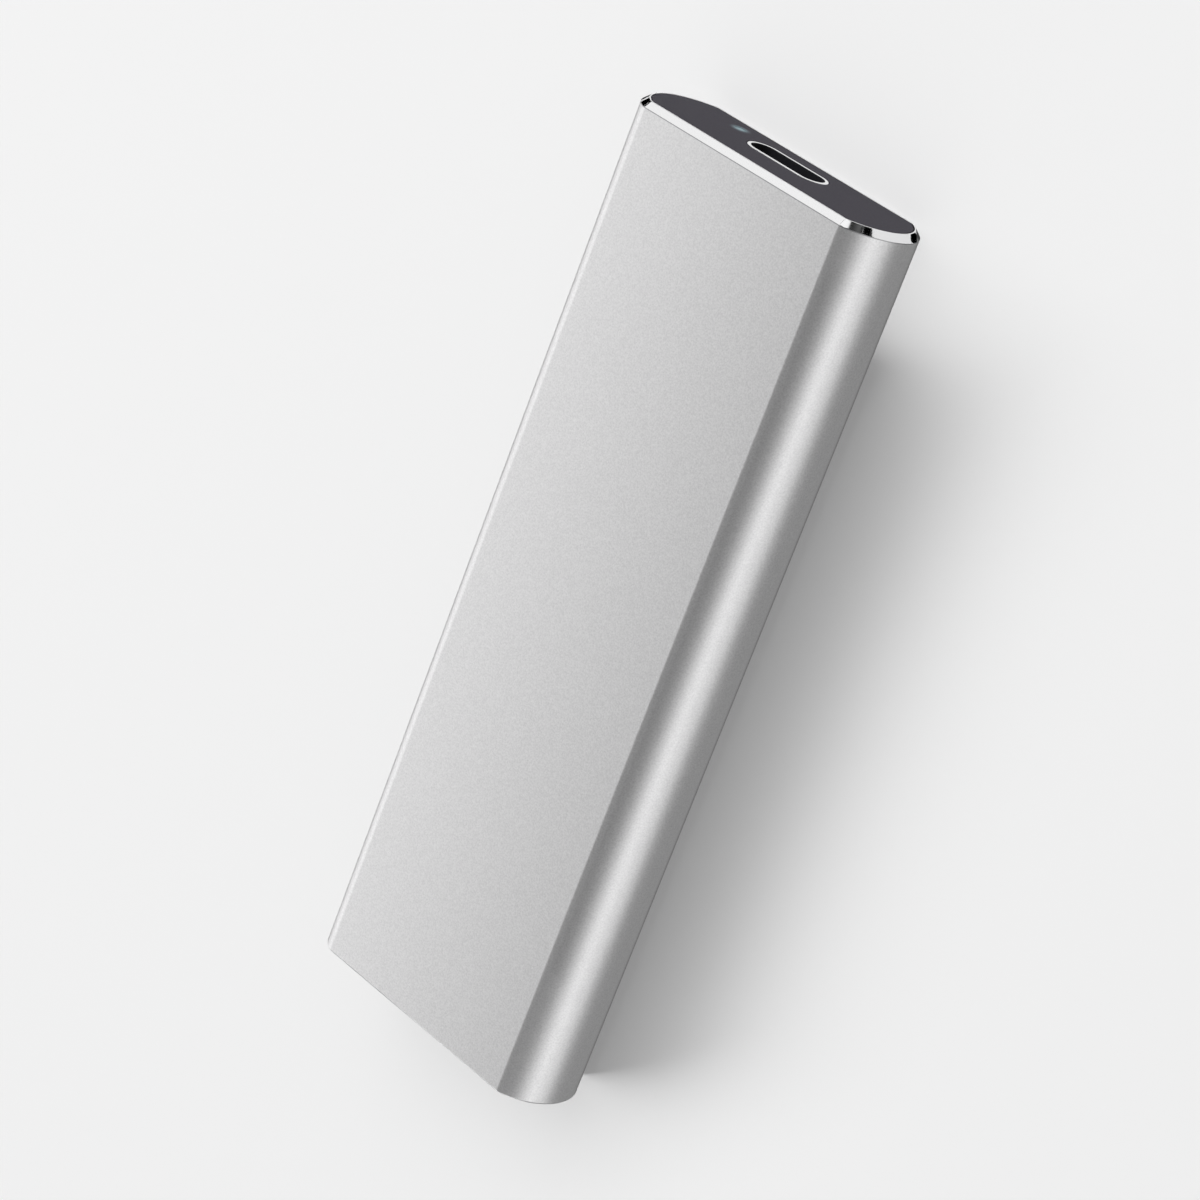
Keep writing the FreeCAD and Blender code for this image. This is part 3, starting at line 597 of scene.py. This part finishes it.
# This darker grey is painted shade along the line at the bevel's foot.
edge_painted_shade_finish = new_finish("painted_shade_bevel_foot", (0.36, 0.36, 0.37), (0.46, 0.46, 0.47), (0.3, 0.4),
                       metallic=1.0, size=0.1, spread=0.3, bump=0.001)
sleeve.data.materials.append(blasted)
sleeve.data.materials.append(polished)
sleeve.data.materials.append(edge_painted_shade_finish)
print("sleeve finishes", [m.name for m in sleeve.data.materials])

# %% [markdown]
# ## Dark moulded caps
# The caps are moulded in charcoal plastic with a fine spark-eroded texture. Round the lamp the
# plastic glows faintly. A small light inside the pin would take many samples to come through, so a
# radial falloff about the lamp's centre gives the glow to Emission Color.

# %% A glow round the lamp
GLOW_REACH = 1.3 * MM
GLOW_FOCUS = 1.3
LAMP_COLOUR = (0.20, 0.29, 0.31)


def add_glow(material, colour, reach, power):
    """Emission that fades with distance from the lamp's axis."""
    tree = material.node_tree
    shader = tree.nodes["Principled BSDF"]
    place = add_node(tree, "ShaderNodeTexCoord")
    gap = add_node(tree, "ShaderNodeVectorMath", operation="DISTANCE")
    gap.inputs[1].default_value = (pipe_x, port_end, pipe_z)
    fade = add_node(tree, "ShaderNodeMapRange", interpolation_type="SMOOTHERSTEP")
    fade.inputs["From Min"].default_value = 0.0
    fade.inputs["From Max"].default_value = reach
    fade.inputs["To Min"].default_value = 1.0
    fade.inputs["To Max"].default_value = 0.0
    soft = add_node(tree, "ShaderNodeMath", operation="POWER")
    soft.inputs[1].default_value = power
    tint = add_node(tree, "ShaderNodeMix", data_type="RGBA")
    tint.inputs[MIX_A].default_value = (0.0, 0.0, 0.0, 1.0)
    tint.inputs[MIX_B].default_value = (*colour, 1.0)
    link = tree.links.new
    link(place.outputs["Object"], gap.inputs[0])
    link(gap.outputs["Value"], fade.inputs["Value"])
    link(fade.outputs["Result"], soft.inputs[0])
    link(soft.outputs[0], tint.inputs[0])
    link(tint.outputs[MIX_RESULT], shader.inputs["Emission Color"])
    shader.inputs["Emission Strength"].default_value = 1.0


print("glow reaches", round(GLOW_REACH / MM, 2), "mm from the lamp's axis")

# %% Finish the caps and the lamp
CAP_DARK = (0.0185, 0.016, 0.024)
CAP_LIGHT = (0.0245, 0.021, 0.0315)


def dress(node, material):
    """Give a solid that keeps its shape a better finish."""
    slots = nodes[node].data.materials
    slots.clear()
    slots.append(material)


port_cap_finish = new_finish("charcoal_cap", CAP_DARK, CAP_LIGHT, (0.5, 0.6), size=0.12, bump=0.004,
                             specular=0.1)
add_glow(port_cap_finish, LAMP_COLOUR, GLOW_REACH, GLOW_FOCUS)
rear_cap_finish = new_finish("charcoal_rear_cap", CAP_DARK, CAP_LIGHT, (0.5, 0.6), size=0.12, bump=0.004,
                             specular=0.1)
lens_finish = new_finish("lamp_lens", CAP_DARK, CAP_LIGHT, (0.4, 0.5), size=0.3, bump=0.001,
                         specular=0.1)
add_glow(lens_finish, LAMP_COLOUR, GLOW_REACH, GLOW_FOCUS)
dress("port_cap", port_cap_finish)
dress("rear_cap", rear_cap_finish)
light_pipe.data.materials.append(lens_finish)
print("caps and lamp finished")

# %% [markdown]
# ## The port
# The rim is nickel-bright steel and the tongue is black resin. The steel of the bore behind the rim
# is painted near black as shade, so the opening reads as a dark slot inside a bright ring.

# %% Finish the port
bright_steel = new_finish("bright_port_steel", (0.86, 0.86, 0.865), (0.92, 0.92, 0.925), (0.10, 0.16),
                          metallic=1.0, size=0.1, bump=0.0006)
# The bore's steel painted near black, as shade inside the port.
bore_painted_shade_finish = new_finish("port_bore_painted_shade", (0.008, 0.008, 0.010), (0.013, 0.013, 0.015), (0.5, 0.6),
                       size=0.3, bump=0.0004, specular=0.1)
tongue_finish = new_finish("tongue_resin", (0.006, 0.006, 0.007), (0.010, 0.010, 0.011), (0.6, 0.7),
                           size=0.3, bump=0.0004, specular=0.1)
dress("port_tongue", tongue_finish)
port_shell.data.materials.append(bright_steel)
port_shell.data.materials.append(bore_painted_shade_finish)
print("port finishes", [m.name for m in port_shell.data.materials])

# %% [markdown]
# ## What lies inside
# The boards, chips and fastenings are closed in, but each still gets its own finish, because the
# part may be opened or cut away in use. Every row names the finish, its two colours and its
# surface, and the solids that wear it.

# %% Finish the inner solids
INNER_FINISHES = [
    ("moulded_resin", (0.016, 0.016, 0.018), (0.030, 0.030, 0.033), (0.5, 0.68), 0.0, 0.12, 0.003,
     ["bridge_chip", "firmware_chip", "power_chip", "card_socket", "drive_controller",
      "card_power_chip", "flash_package_1", "flash_package_2"]),
    ("gold_plate", (0.80, 0.56, 0.22), (0.90, 0.68, 0.30), (0.16, 0.28), 1.0, 0.15, 0.001,
     ["port_contacts"]),
    ("tinned_metal", (0.62, 0.62, 0.60), (0.78, 0.78, 0.76), (0.25, 0.45), 1.0, 0.2, 0.002,
     ["port_tails", "clock_crystal", "socket_tails"]),
    ("green_laminate", (0.010, 0.12, 0.05), (0.03, 0.20, 0.09), (0.3, 0.42), 0.0, 0.5, 0.004,
     ["bridge_board"]),
    ("blue_laminate", (0.012, 0.04, 0.11), (0.03, 0.08, 0.17), (0.3, 0.42), 0.0, 0.5, 0.004, ["card_board"]),
    ("sintered_ferrite", (0.08, 0.08, 0.085), (0.14, 0.14, 0.15), (0.6, 0.78), 0.0, 0.08, 0.006,
     ["power_inductor", "board_resistors"]),
    ("capacitor_ceramic", (0.36, 0.25, 0.15), (0.50, 0.37, 0.25), (0.45, 0.6), 0.0, 0.1, 0.002,
     ["board_capacitors", "card_capacitors"]),
    ("lamp_housing", (0.78, 0.84, 0.80), (0.88, 0.92, 0.90), (0.3, 0.42), 0.0, 0.2, 0.002, ["status_led"]),
    ("turned_brass", (0.66, 0.50, 0.26), (0.78, 0.62, 0.36), (0.22, 0.36), 1.0, 0.08, 0.002,
     ["card_standoff"]),
    ("zinc_steel", (0.50, 0.50, 0.52), (0.62, 0.62, 0.63), (0.3, 0.42), 1.0, 0.1, 0.002, ["card_screw"]),
    ("silicone_pad", (0.30, 0.37, 0.43), (0.42, 0.48, 0.53), (0.7, 0.85), 0.0, 0.25, 0.01, ["thermal_pad"]),
    ("black_film", (0.035, 0.035, 0.036), (0.06, 0.06, 0.062), (0.25, 0.36), 0.0, 0.6, 0.002,
     ["insulating_film"]),
]
for name, dark, light, rough, metallic, size, bump, wearers in INNER_FINISHES:
    material = new_finish(name, dark, light, rough, metallic=metallic, size=size, bump=bump)
    for node in wearers:
        dress(node, material)
print("inner finishes", len(INNER_FINISHES))

# %% [markdown]
# ## The floor
# The drive lies on a white sweep. A sweep curves up at the back, but the photograph looks down and
# shows no horizon, so a plane does. It is matte and glows a little by itself, so it stays pale
# without more light on the part, and still keeps the shadow.

# %% Lay the floor
FLOOR_SIZE = 6.0
FLOOR_COLOUR = (0.78, 0.78, 0.78)
FLOOR_ROUGHNESS = 0.9
FLOOR_GLOW = 0.12
FLOOR_CELLS = 12


def studio_object(name, work):
    """Turn a bmesh into an object of the studio, which is no piece of the part."""
    mesh = bpy.data.meshes.new(name)
    work.to_mesh(mesh)
    work.free()
    made = bpy.data.objects.new(name, mesh)
    bpy.context.scene.collection.objects.link(made)
    return made


floor_work = bmesh.new()
bmesh.ops.create_grid(floor_work, x_segments=FLOOR_CELLS, y_segments=FLOOR_CELLS, size=FLOOR_SIZE / 2)
floor = studio_object("floor", floor_work)
floor_finish = bpy.data.materials.new("matte_floor")
floor_finish.use_nodes = True
floor_shader = floor_finish.node_tree.nodes["Principled BSDF"]
floor_shader.inputs["Base Color"].default_value = (*FLOOR_COLOUR, 1.0)
floor_shader.inputs["Roughness"].default_value = FLOOR_ROUGHNESS
floor_shader.inputs["Specular IOR Level"].default_value = 0.0
floor_shader.inputs["Emission Color"].default_value = (1.0, 1.0, 1.0, 1.0)
floor_shader.inputs["Emission Strength"].default_value = FLOOR_GLOW
floor.data.materials.append(floor_finish)
print("floor", FLOOR_SIZE, "m wide")

# %% [markdown]
# ## Light by mirrors only
# Metal shows what stands round it, so a photographer sets white and black cards where its
# reflections should be bright or dark. Here only reflections see the cards; the lamp and a dim sky
# do the lighting. A card could still light the floor by way of the metal and leave bright patches
# there. Light Path's Diffuse Depth tells such light apart. Cards and sky both need it, so it is a
# node group with one output.

# %% Make the mirror group
DEPTH_LIMIT = 0.5


def make_mirror_group():
    """One for light that comes to the eye by mirrors only, nought for light that lit the floor."""
    tree, _, end = new_group("mirrors_only", [], ["Mirrors Only"])
    path = add_node(tree, "ShaderNodeLightPath")
    first = add_node(tree, "ShaderNodeMath", operation="LESS_THAN")
    first.inputs[1].default_value = DEPTH_LIMIT
    tree.links.new(path.outputs["Diffuse Depth"], first.inputs[0])
    tree.links.new(first.outputs[0], end.inputs["Mirrors Only"])
    return tree


mirror_group = make_mirror_group()
print("group", mirror_group.name, "with", len(mirror_group.nodes), "nodes")

# %% [markdown]
# ## A card
# A card is a square of one unit, which is scaled where it stands. It glows with one value or with a
# ramp from its lower to its upper edge, as a softbox fades to its rim. For light that doesn't come
# by mirrors it has the plain level of the sky.

# %% Make a grey ramp


def grey(value):
    """One value as an opaque colour."""
    return (value, value, value, 1.0)


def make_ramp(tree, stops):
    """A grey ramp from a list of places and values."""
    ramp = add_node(tree, "ShaderNodeValToRGB")
    marks = ramp.color_ramp.elements
    marks[0].position = stops[0][0]
    marks[1].position = stops[-1][0]
    for position, value in stops[1:-1]:
        marks.new(position)
    for mark, (position, value) in zip(marks, stops):
        mark.color = grey(value)
    return ramp


print("half grey is", grey(0.5))

# %% Make a card's glow
FILL = 0.31


def card_glow(name, stops, brightness):
    """A glow that reflections see, from one value or from the stops of a ramp."""
    glow = bpy.data.materials.new(name)
    glow.use_nodes = True
    tree = glow.node_tree
    shader = tree.nodes["Principled BSDF"]
    shader.inputs["Base Color"].default_value = grey(0.0)
    shader.inputs["Specular IOR Level"].default_value = 0.0
    shader.inputs["Emission Strength"].default_value = brightness
    mirrors = add_node(tree, "ShaderNodeGroup", node_tree=mirror_group)
    seen = add_node(tree, "ShaderNodeMix", data_type="RGBA")
    seen.inputs[MIX_A].default_value = grey(FILL / brightness)
    if len(stops) == 1:
        seen.inputs[MIX_B].default_value = grey(stops[0])
    else:
        place = add_node(tree, "ShaderNodeTexCoord")
        split = add_node(tree, "ShaderNodeSeparateXYZ")
        ramp = make_ramp(tree, stops)
        tree.links.new(place.outputs["Generated"], split.inputs[0])
        tree.links.new(split.outputs["Y"], ramp.inputs["Fac"])
        tree.links.new(ramp.outputs["Color"], seen.inputs[MIX_B])
    tree.links.new(mirrors.outputs["Mirrors Only"], seen.inputs[0])
    tree.links.new(seen.outputs[MIX_RESULT], shader.inputs["Emission Color"])
    return glow


print("plain level of the sky", FILL)

# %% Make one card


def make_card(name, stops, brightness):
    """A square of one unit that only reflections see."""
    work = bmesh.new()
    bmesh.ops.create_grid(work, x_segments=2, y_segments=2, size=0.5)
    card = studio_object(name, work)
    card.visible_camera = False
    card.visible_diffuse = False
    card.visible_shadow = False
    card.visible_transmission = False
    card.data.materials.append(card_glow(name, stops, brightness))
    return card


print("card maker ready")

# %% [markdown]
# ## Standing cards
# The broad side card is a softbox across the far side, which the flat face shows. A low card
# brightens the edge below it, one stands behind the plain end, one hangs before the port end, and a
# narrow one in front of the mouth lights the bevel's corner. Each row gives a card's azimuth and
# elevation, its distance, width and height in metres, its stops and its brightness.

# %% Stand the cards
SOFTBOX = [(0.0, 0.70), (0.42, 0.72), (0.6, 1.0), (0.8, 0.72), (1.0, 0.1)]
SOFT_FOOT = [(0.0, 0.1), (0.1, 0.25), (0.24, 1.0), (1.0, 1.0)]
PLAIN = [1.0]
STANDING_CARDS = [
    ("side_card", 90, 37, 0.42, (1.3, 0.34), SOFTBOX, 1.43),
    ("low_card", 110, 8, 0.42, (0.5, 0.11), PLAIN, 1.2),
    ("back_card", 180, 28, 0.6, (0.6, 0.35), PLAIN, 0.9),
    ("front_card", 0, 52, 0.5, (0.5, 0.2), PLAIN, 0.8),
    ("mouth_card", 8.6, 15, 0.5, (0.314, 0.11), SOFT_FOOT, 1.08),
]


def direction(azimuth, elevation):
    """A unit vector towards a place in the studio; azimuth 0 is in front of the port end."""
    a = math.radians(azimuth)
    e = math.radians(elevation)
    return Vector((math.sin(a) * math.cos(e), -math.cos(a) * math.cos(e), math.sin(e)))


def stand_card(name, azimuth, elevation, distance, size, stops, brightness):
    """A card that stands in the studio and faces the part."""
    card = make_card(name, stops, brightness)
    towards = direction(azimuth, elevation)
    card.location = towards * distance
    card.rotation_euler = towards.to_track_quat("Z", "Y").to_euler()
    card.scale = (*size, 1.0)


for row in STANDING_CARDS:
    stand_card(*row)
print("standing cards", len(STANDING_CARDS))

# %% [markdown]
# ## Cards on the floor
# The lower half of a round side and the corners of the bevel mirror the floor. Cards that lie on it
# set what they show: a ramp from dark to light beside each long side, and black where the photograph
# has a dark glint or the part hides the floor. The card before the port end has the floor's own
# shade, so it doesn't show, and only keeps the bevel from lighting the floor in front of it. Each
# row gives the reach across and along the part in millimetres, and the stops.

# %% Lay the floor cards
SHADE = [(0.0, 0.05), (0.105, 0.06), (0.13, 0.30), (0.33, 0.31), (0.43, 0.41), (0.67, 0.70), (1.0, 0.92)]
LIGHT_EDGE = [(0.0, 0.0), (0.42, 0.0), (0.62, 1.0), (1.0, 1.0)]
BLACK = [0.0]
FLOOR_SHINE = [0.86]
CARD_LIFT = 0.1
FLOOR_CARDS = [
    ("shade_side", (-10, -46), (-44, 76), SHADE),
    ("light_side", (15, 45), (-44, 76), LIGHT_EDGE),
    ("shade_corner", (-13.5, -15.4), (-45.3, -44), BLACK),
    ("light_corner", (27, 320), (-280, -45.5), BLACK),
    ("front_shade", (-25, -560), (-1500, -89), BLACK),
    ("shade_under", (-11, 14), (-43.9, 43.8), BLACK),
    ("front_floor", (-13.4, 16), (-52, -44.05), FLOOR_SHINE),
]


def lay_card(name, x_span, y_span, stops):
    """A card flat on the floor beside the part; its ramp runs away from the part."""
    card = make_card(name, stops, 1.0)
    near, far = x_span
    card.location = Vector(((near + far) / 2, sum(y_span) / 2, CARD_LIFT)) * MM
    card.rotation_euler = (0.0, 0.0, -math.copysign(math.pi / 2, far))
    card.scale = ((y_span[1] - y_span[0]) * MM, abs(far - near) * MM, 1.0)


for row in FLOOR_CARDS:
    lay_card(*row)
print("floor cards", len(FLOOR_CARDS))

# %% [markdown]
# ## The lamp
# One broad soft lamp from the far side lights the part and throws the long shadow. An area lamp is
# the natural choice: the larger it is, the softer the shadow's edge. Reflections don't see it,
# because the cards stand for it there.

# %% Hang the lamp
LAMP_POWER = 331.0
LAMP_DISTANCE = 4.0
LAMP_WIDTH = 9.7
LAMP_HEIGHT = 1.6
LAMP_AZIMUTH = 51.9
LAMP_ELEVATION = 34.7

lamp = bpy.data.lights.new("side_lamp", "AREA")
lamp.shape = "RECTANGLE"
lamp.size = LAMP_WIDTH
lamp.size_y = LAMP_HEIGHT
lamp.energy = LAMP_POWER
lamp_object = bpy.data.objects.new("side_lamp", lamp)
bpy.context.scene.collection.objects.link(lamp_object)
towards_lamp = direction(LAMP_AZIMUTH, LAMP_ELEVATION)
lamp_object.location = towards_lamp * LAMP_DISTANCE
lamp_object.rotation_euler = towards_lamp.to_track_quat("Z", "Y").to_euler()
lamp_object.visible_glossy = False
print("lamp at", [round(v, 2) for v in lamp_object.location], "m")

# %% [markdown]
# ## What casts the shadow
# In the photograph the shadow begins well behind the port end and stops short of the plain end,
# which one lamp and the part's own outline don't give. So the lamp's light passes the part by, and a
# plain block that fits in its box casts the shadow instead. The block bows in at the port end, slopes
# in at the plain end and has one corner cut. Light linking makes it the lamp's only blocker, and
# neither the camera nor a reflection sees it. The sky's light is still stopped by the part itself.

# %% Shape the shadow block
CORE_SIDES = (-14.3, -13.0, 11.0)
CORE_FOOT = (-29.5, 42.9)
CORE_TOP = (-39.3, 30.4)
CORE_CORNER = 0.95
CORE_HEIGHT = 10.2
CORE_LIFT = 0.1
CORE_CUTS = 8


def edges_along(work, axis):
    """The edges of a unit cube that run its whole length along one axis."""
    return [edge for edge in work.edges if abs(edge.verts[0].co[axis] - edge.verts[1].co[axis]) > 0.5]


def place_in_core(co):
    """Where a point of the unit cube comes to lie in the shadow block, in millimetres."""
    share = co.z + 0.5
    bow = math.sqrt(1 - (1 - share) ** 2)
    column = round(2 * co.x) + 1
    front_y = CORE_FOOT[0] + (CORE_TOP[0] - CORE_FOOT[0]) * bow
    back_y = CORE_FOOT[1] + (CORE_TOP[1] - CORE_FOOT[1]) * share
    if column == 0:
        back_y -= CORE_CORNER * (1 - share)
    y = back_y if co.y > 0 else front_y
    return Vector((CORE_SIDES[column], y, CORE_LIFT + CORE_HEIGHT * share))


core_work = bmesh.new()
bmesh.ops.create_cube(core_work, size=1.0)
bmesh.ops.subdivide_edges(core_work, edges=edges_along(core_work, 2), cuts=CORE_CUTS)
bmesh.ops.subdivide_edges(core_work, edges=edges_along(core_work, 0), cuts=1)
for vert in core_work.verts:
    vert.co = place_in_core(vert.co) * MM
core = studio_object("shadow_core", core_work)
core.visible_camera = False
core.visible_diffuse = False
core.visible_glossy = False
core.visible_transmission = False
casters = bpy.data.collections.new("shadow_casters")
casters.objects.link(core)
lamp_object.light_linking.blocker_collection = casters
print("shadow block faces", len(core.data.polygons))

# %% [markdown]
# ## The sky
# The world does three jobs, told apart by Light Path. The camera sees a plain pale backdrop. Light
# that fills the shadows is one even grey. Metal sees a studio: a ramp that turns about the part's
# length, from dark on one side over the top to white on the other, and fades towards the front,
# where only a faint haze is left. An image of a studio would do too, but a ramp is easily tuned.

# %% Paint the studio that metal sees
STUDIO = [(0.0, 0.01), (0.09, 0.02), (0.33, 0.24), (0.73, 0.22), (0.80, 0.29), (0.867, 0.58), (0.933, 0.86),
          (1.0, 1.0)]
STUDIO_BRIGHTNESS = 1.22
FRONT_FADE = (-0.95, -0.72)
FRONT_HAZE = 0.13
HAZE_RISE = 0.05


def soft_step(tree, start, end, top):
    """A Map Range node that rises softly from nought to a top value."""
    step = add_node(tree, "ShaderNodeMapRange", interpolation_type="SMOOTHSTEP")
    step.inputs["From Min"].default_value = start
    step.inputs["From Max"].default_value = end
    step.inputs["To Max"].default_value = top
    return step


def paint_studio(tree):
    """The background that reflections see, by the direction they look in."""
    place = add_node(tree, "ShaderNodeTexCoord")
    split = add_node(tree, "ShaderNodeSeparateXYZ")
    lift = add_node(tree, "ShaderNodeMath", operation="MAXIMUM")
    lift.inputs[1].default_value = 0.0
    angle = add_node(tree, "ShaderNodeMath", operation="ARCTAN2")
    share = add_node(tree, "ShaderNodeMath", operation="DIVIDE")
    share.inputs[1].default_value = math.pi
    ramp = make_ramp(tree, STUDIO)
    front = soft_step(tree, *FRONT_FADE, STUDIO_BRIGHTNESS)
    haze = soft_step(tree, 0.0, HAZE_RISE, FRONT_HAZE)
    shown = add_node(tree, "ShaderNodeMath", operation="MAXIMUM")
    studio = add_node(tree, "ShaderNodeBackground")
    link = tree.links.new
    link(place.outputs["Generated"], split.inputs[0])
    link(split.outputs["Z"], lift.inputs[0])
    link(lift.outputs[0], angle.inputs[0])
    link(split.outputs["X"], angle.inputs[1])
    link(angle.outputs[0], share.inputs[0])
    link(share.outputs[0], ramp.inputs["Fac"])
    link(ramp.outputs["Color"], studio.inputs["Color"])
    link(split.outputs["Y"], front.inputs["Value"])
    link(split.outputs["Z"], haze.inputs["Value"])
    link(front.outputs["Result"], shown.inputs[0])
    link(haze.outputs["Result"], shown.inputs[1])
    link(shown.outputs[0], studio.inputs["Strength"])
    return studio


world = bpy.data.worlds.new("studio")
bpy.context.scene.world = world
world.use_nodes = True
sky = world.node_tree
sky.nodes.clear()
studio = paint_studio(sky)
print("studio nodes", len(sky.nodes))

# %% [markdown]
# Two mixes choose between the three. A reflection counts as one only while it comes by mirrors, so
# that the floor isn't lit by the studio through the metal.

# %% Join backdrop, fill and studio
BACKDROP = 0.87

rays = add_node(sky, "ShaderNodeLightPath")
mirrors = add_node(sky, "ShaderNodeGroup", node_tree=mirror_group)
in_metal = add_node(sky, "ShaderNodeMath", operation="MULTIPLY")
fill = add_node(sky, "ShaderNodeBackground")
fill.inputs["Color"].default_value = grey(1.0)
fill.inputs["Strength"].default_value = FILL
backdrop = add_node(sky, "ShaderNodeBackground")
backdrop.inputs["Color"].default_value = grey(BACKDROP)
seen_in_gloss = add_node(sky, "ShaderNodeMixShader")
seen_direct = add_node(sky, "ShaderNodeMixShader")
out = add_node(sky, "ShaderNodeOutputWorld")
link = sky.links.new
link(rays.outputs["Is Glossy Ray"], in_metal.inputs[0])
link(mirrors.outputs["Mirrors Only"], in_metal.inputs[1])
link(in_metal.outputs[0], seen_in_gloss.inputs["Fac"])
link(fill.outputs[0], seen_in_gloss.inputs[1])
link(studio.outputs[0], seen_in_gloss.inputs[2])
link(rays.outputs["Is Camera Ray"], seen_direct.inputs["Fac"])
link(seen_in_gloss.outputs[0], seen_direct.inputs[1])
link(backdrop.outputs[0], seen_direct.inputs[2])
link(seen_direct.outputs[0], out.inputs["Surface"])
print("sky nodes", len(sky.nodes))

# %% [markdown]
# ## Camera
# The photograph looks down on the drive from beside the port end, with the picture turned so that
# the port end points up. The camera is given as a person would place it: what it aims at, from how
# far, from which side, and how far it is rolled about its own axis.

# %% Place the camera
AIM = Vector((1.181, 0.086, 5.25)) * MM
CAMERA_DISTANCE = 362.5 * MM
CAMERA_AZIMUTH = -59.906
CAMERA_ELEVATION = 48.014
CAMERA_ROLL = -92.152
CAMERA_LENS = 119.5
SENSOR_WIDTH = 36.0

camera_data = bpy.data.cameras.new("camera")
camera_data.lens = CAMERA_LENS
camera_data.sensor_width = SENSOR_WIDTH
camera = bpy.data.objects.new("camera", camera_data)
bpy.context.scene.collection.objects.link(camera)
back = direction(CAMERA_AZIMUTH, CAMERA_ELEVATION)
camera.location = AIM + back * CAMERA_DISTANCE
turn = (-back).to_track_quat("-Z", "Y").to_matrix().to_4x4()
roll = Matrix.Rotation(math.radians(CAMERA_ROLL), 4, "Z")
camera.rotation_euler = (turn @ roll).to_euler()
bpy.context.scene.camera = camera
bpy.context.scene.view_settings.view_transform = "Standard"
print("camera at", [round(v / MM, 1) for v in camera.location], "mm")
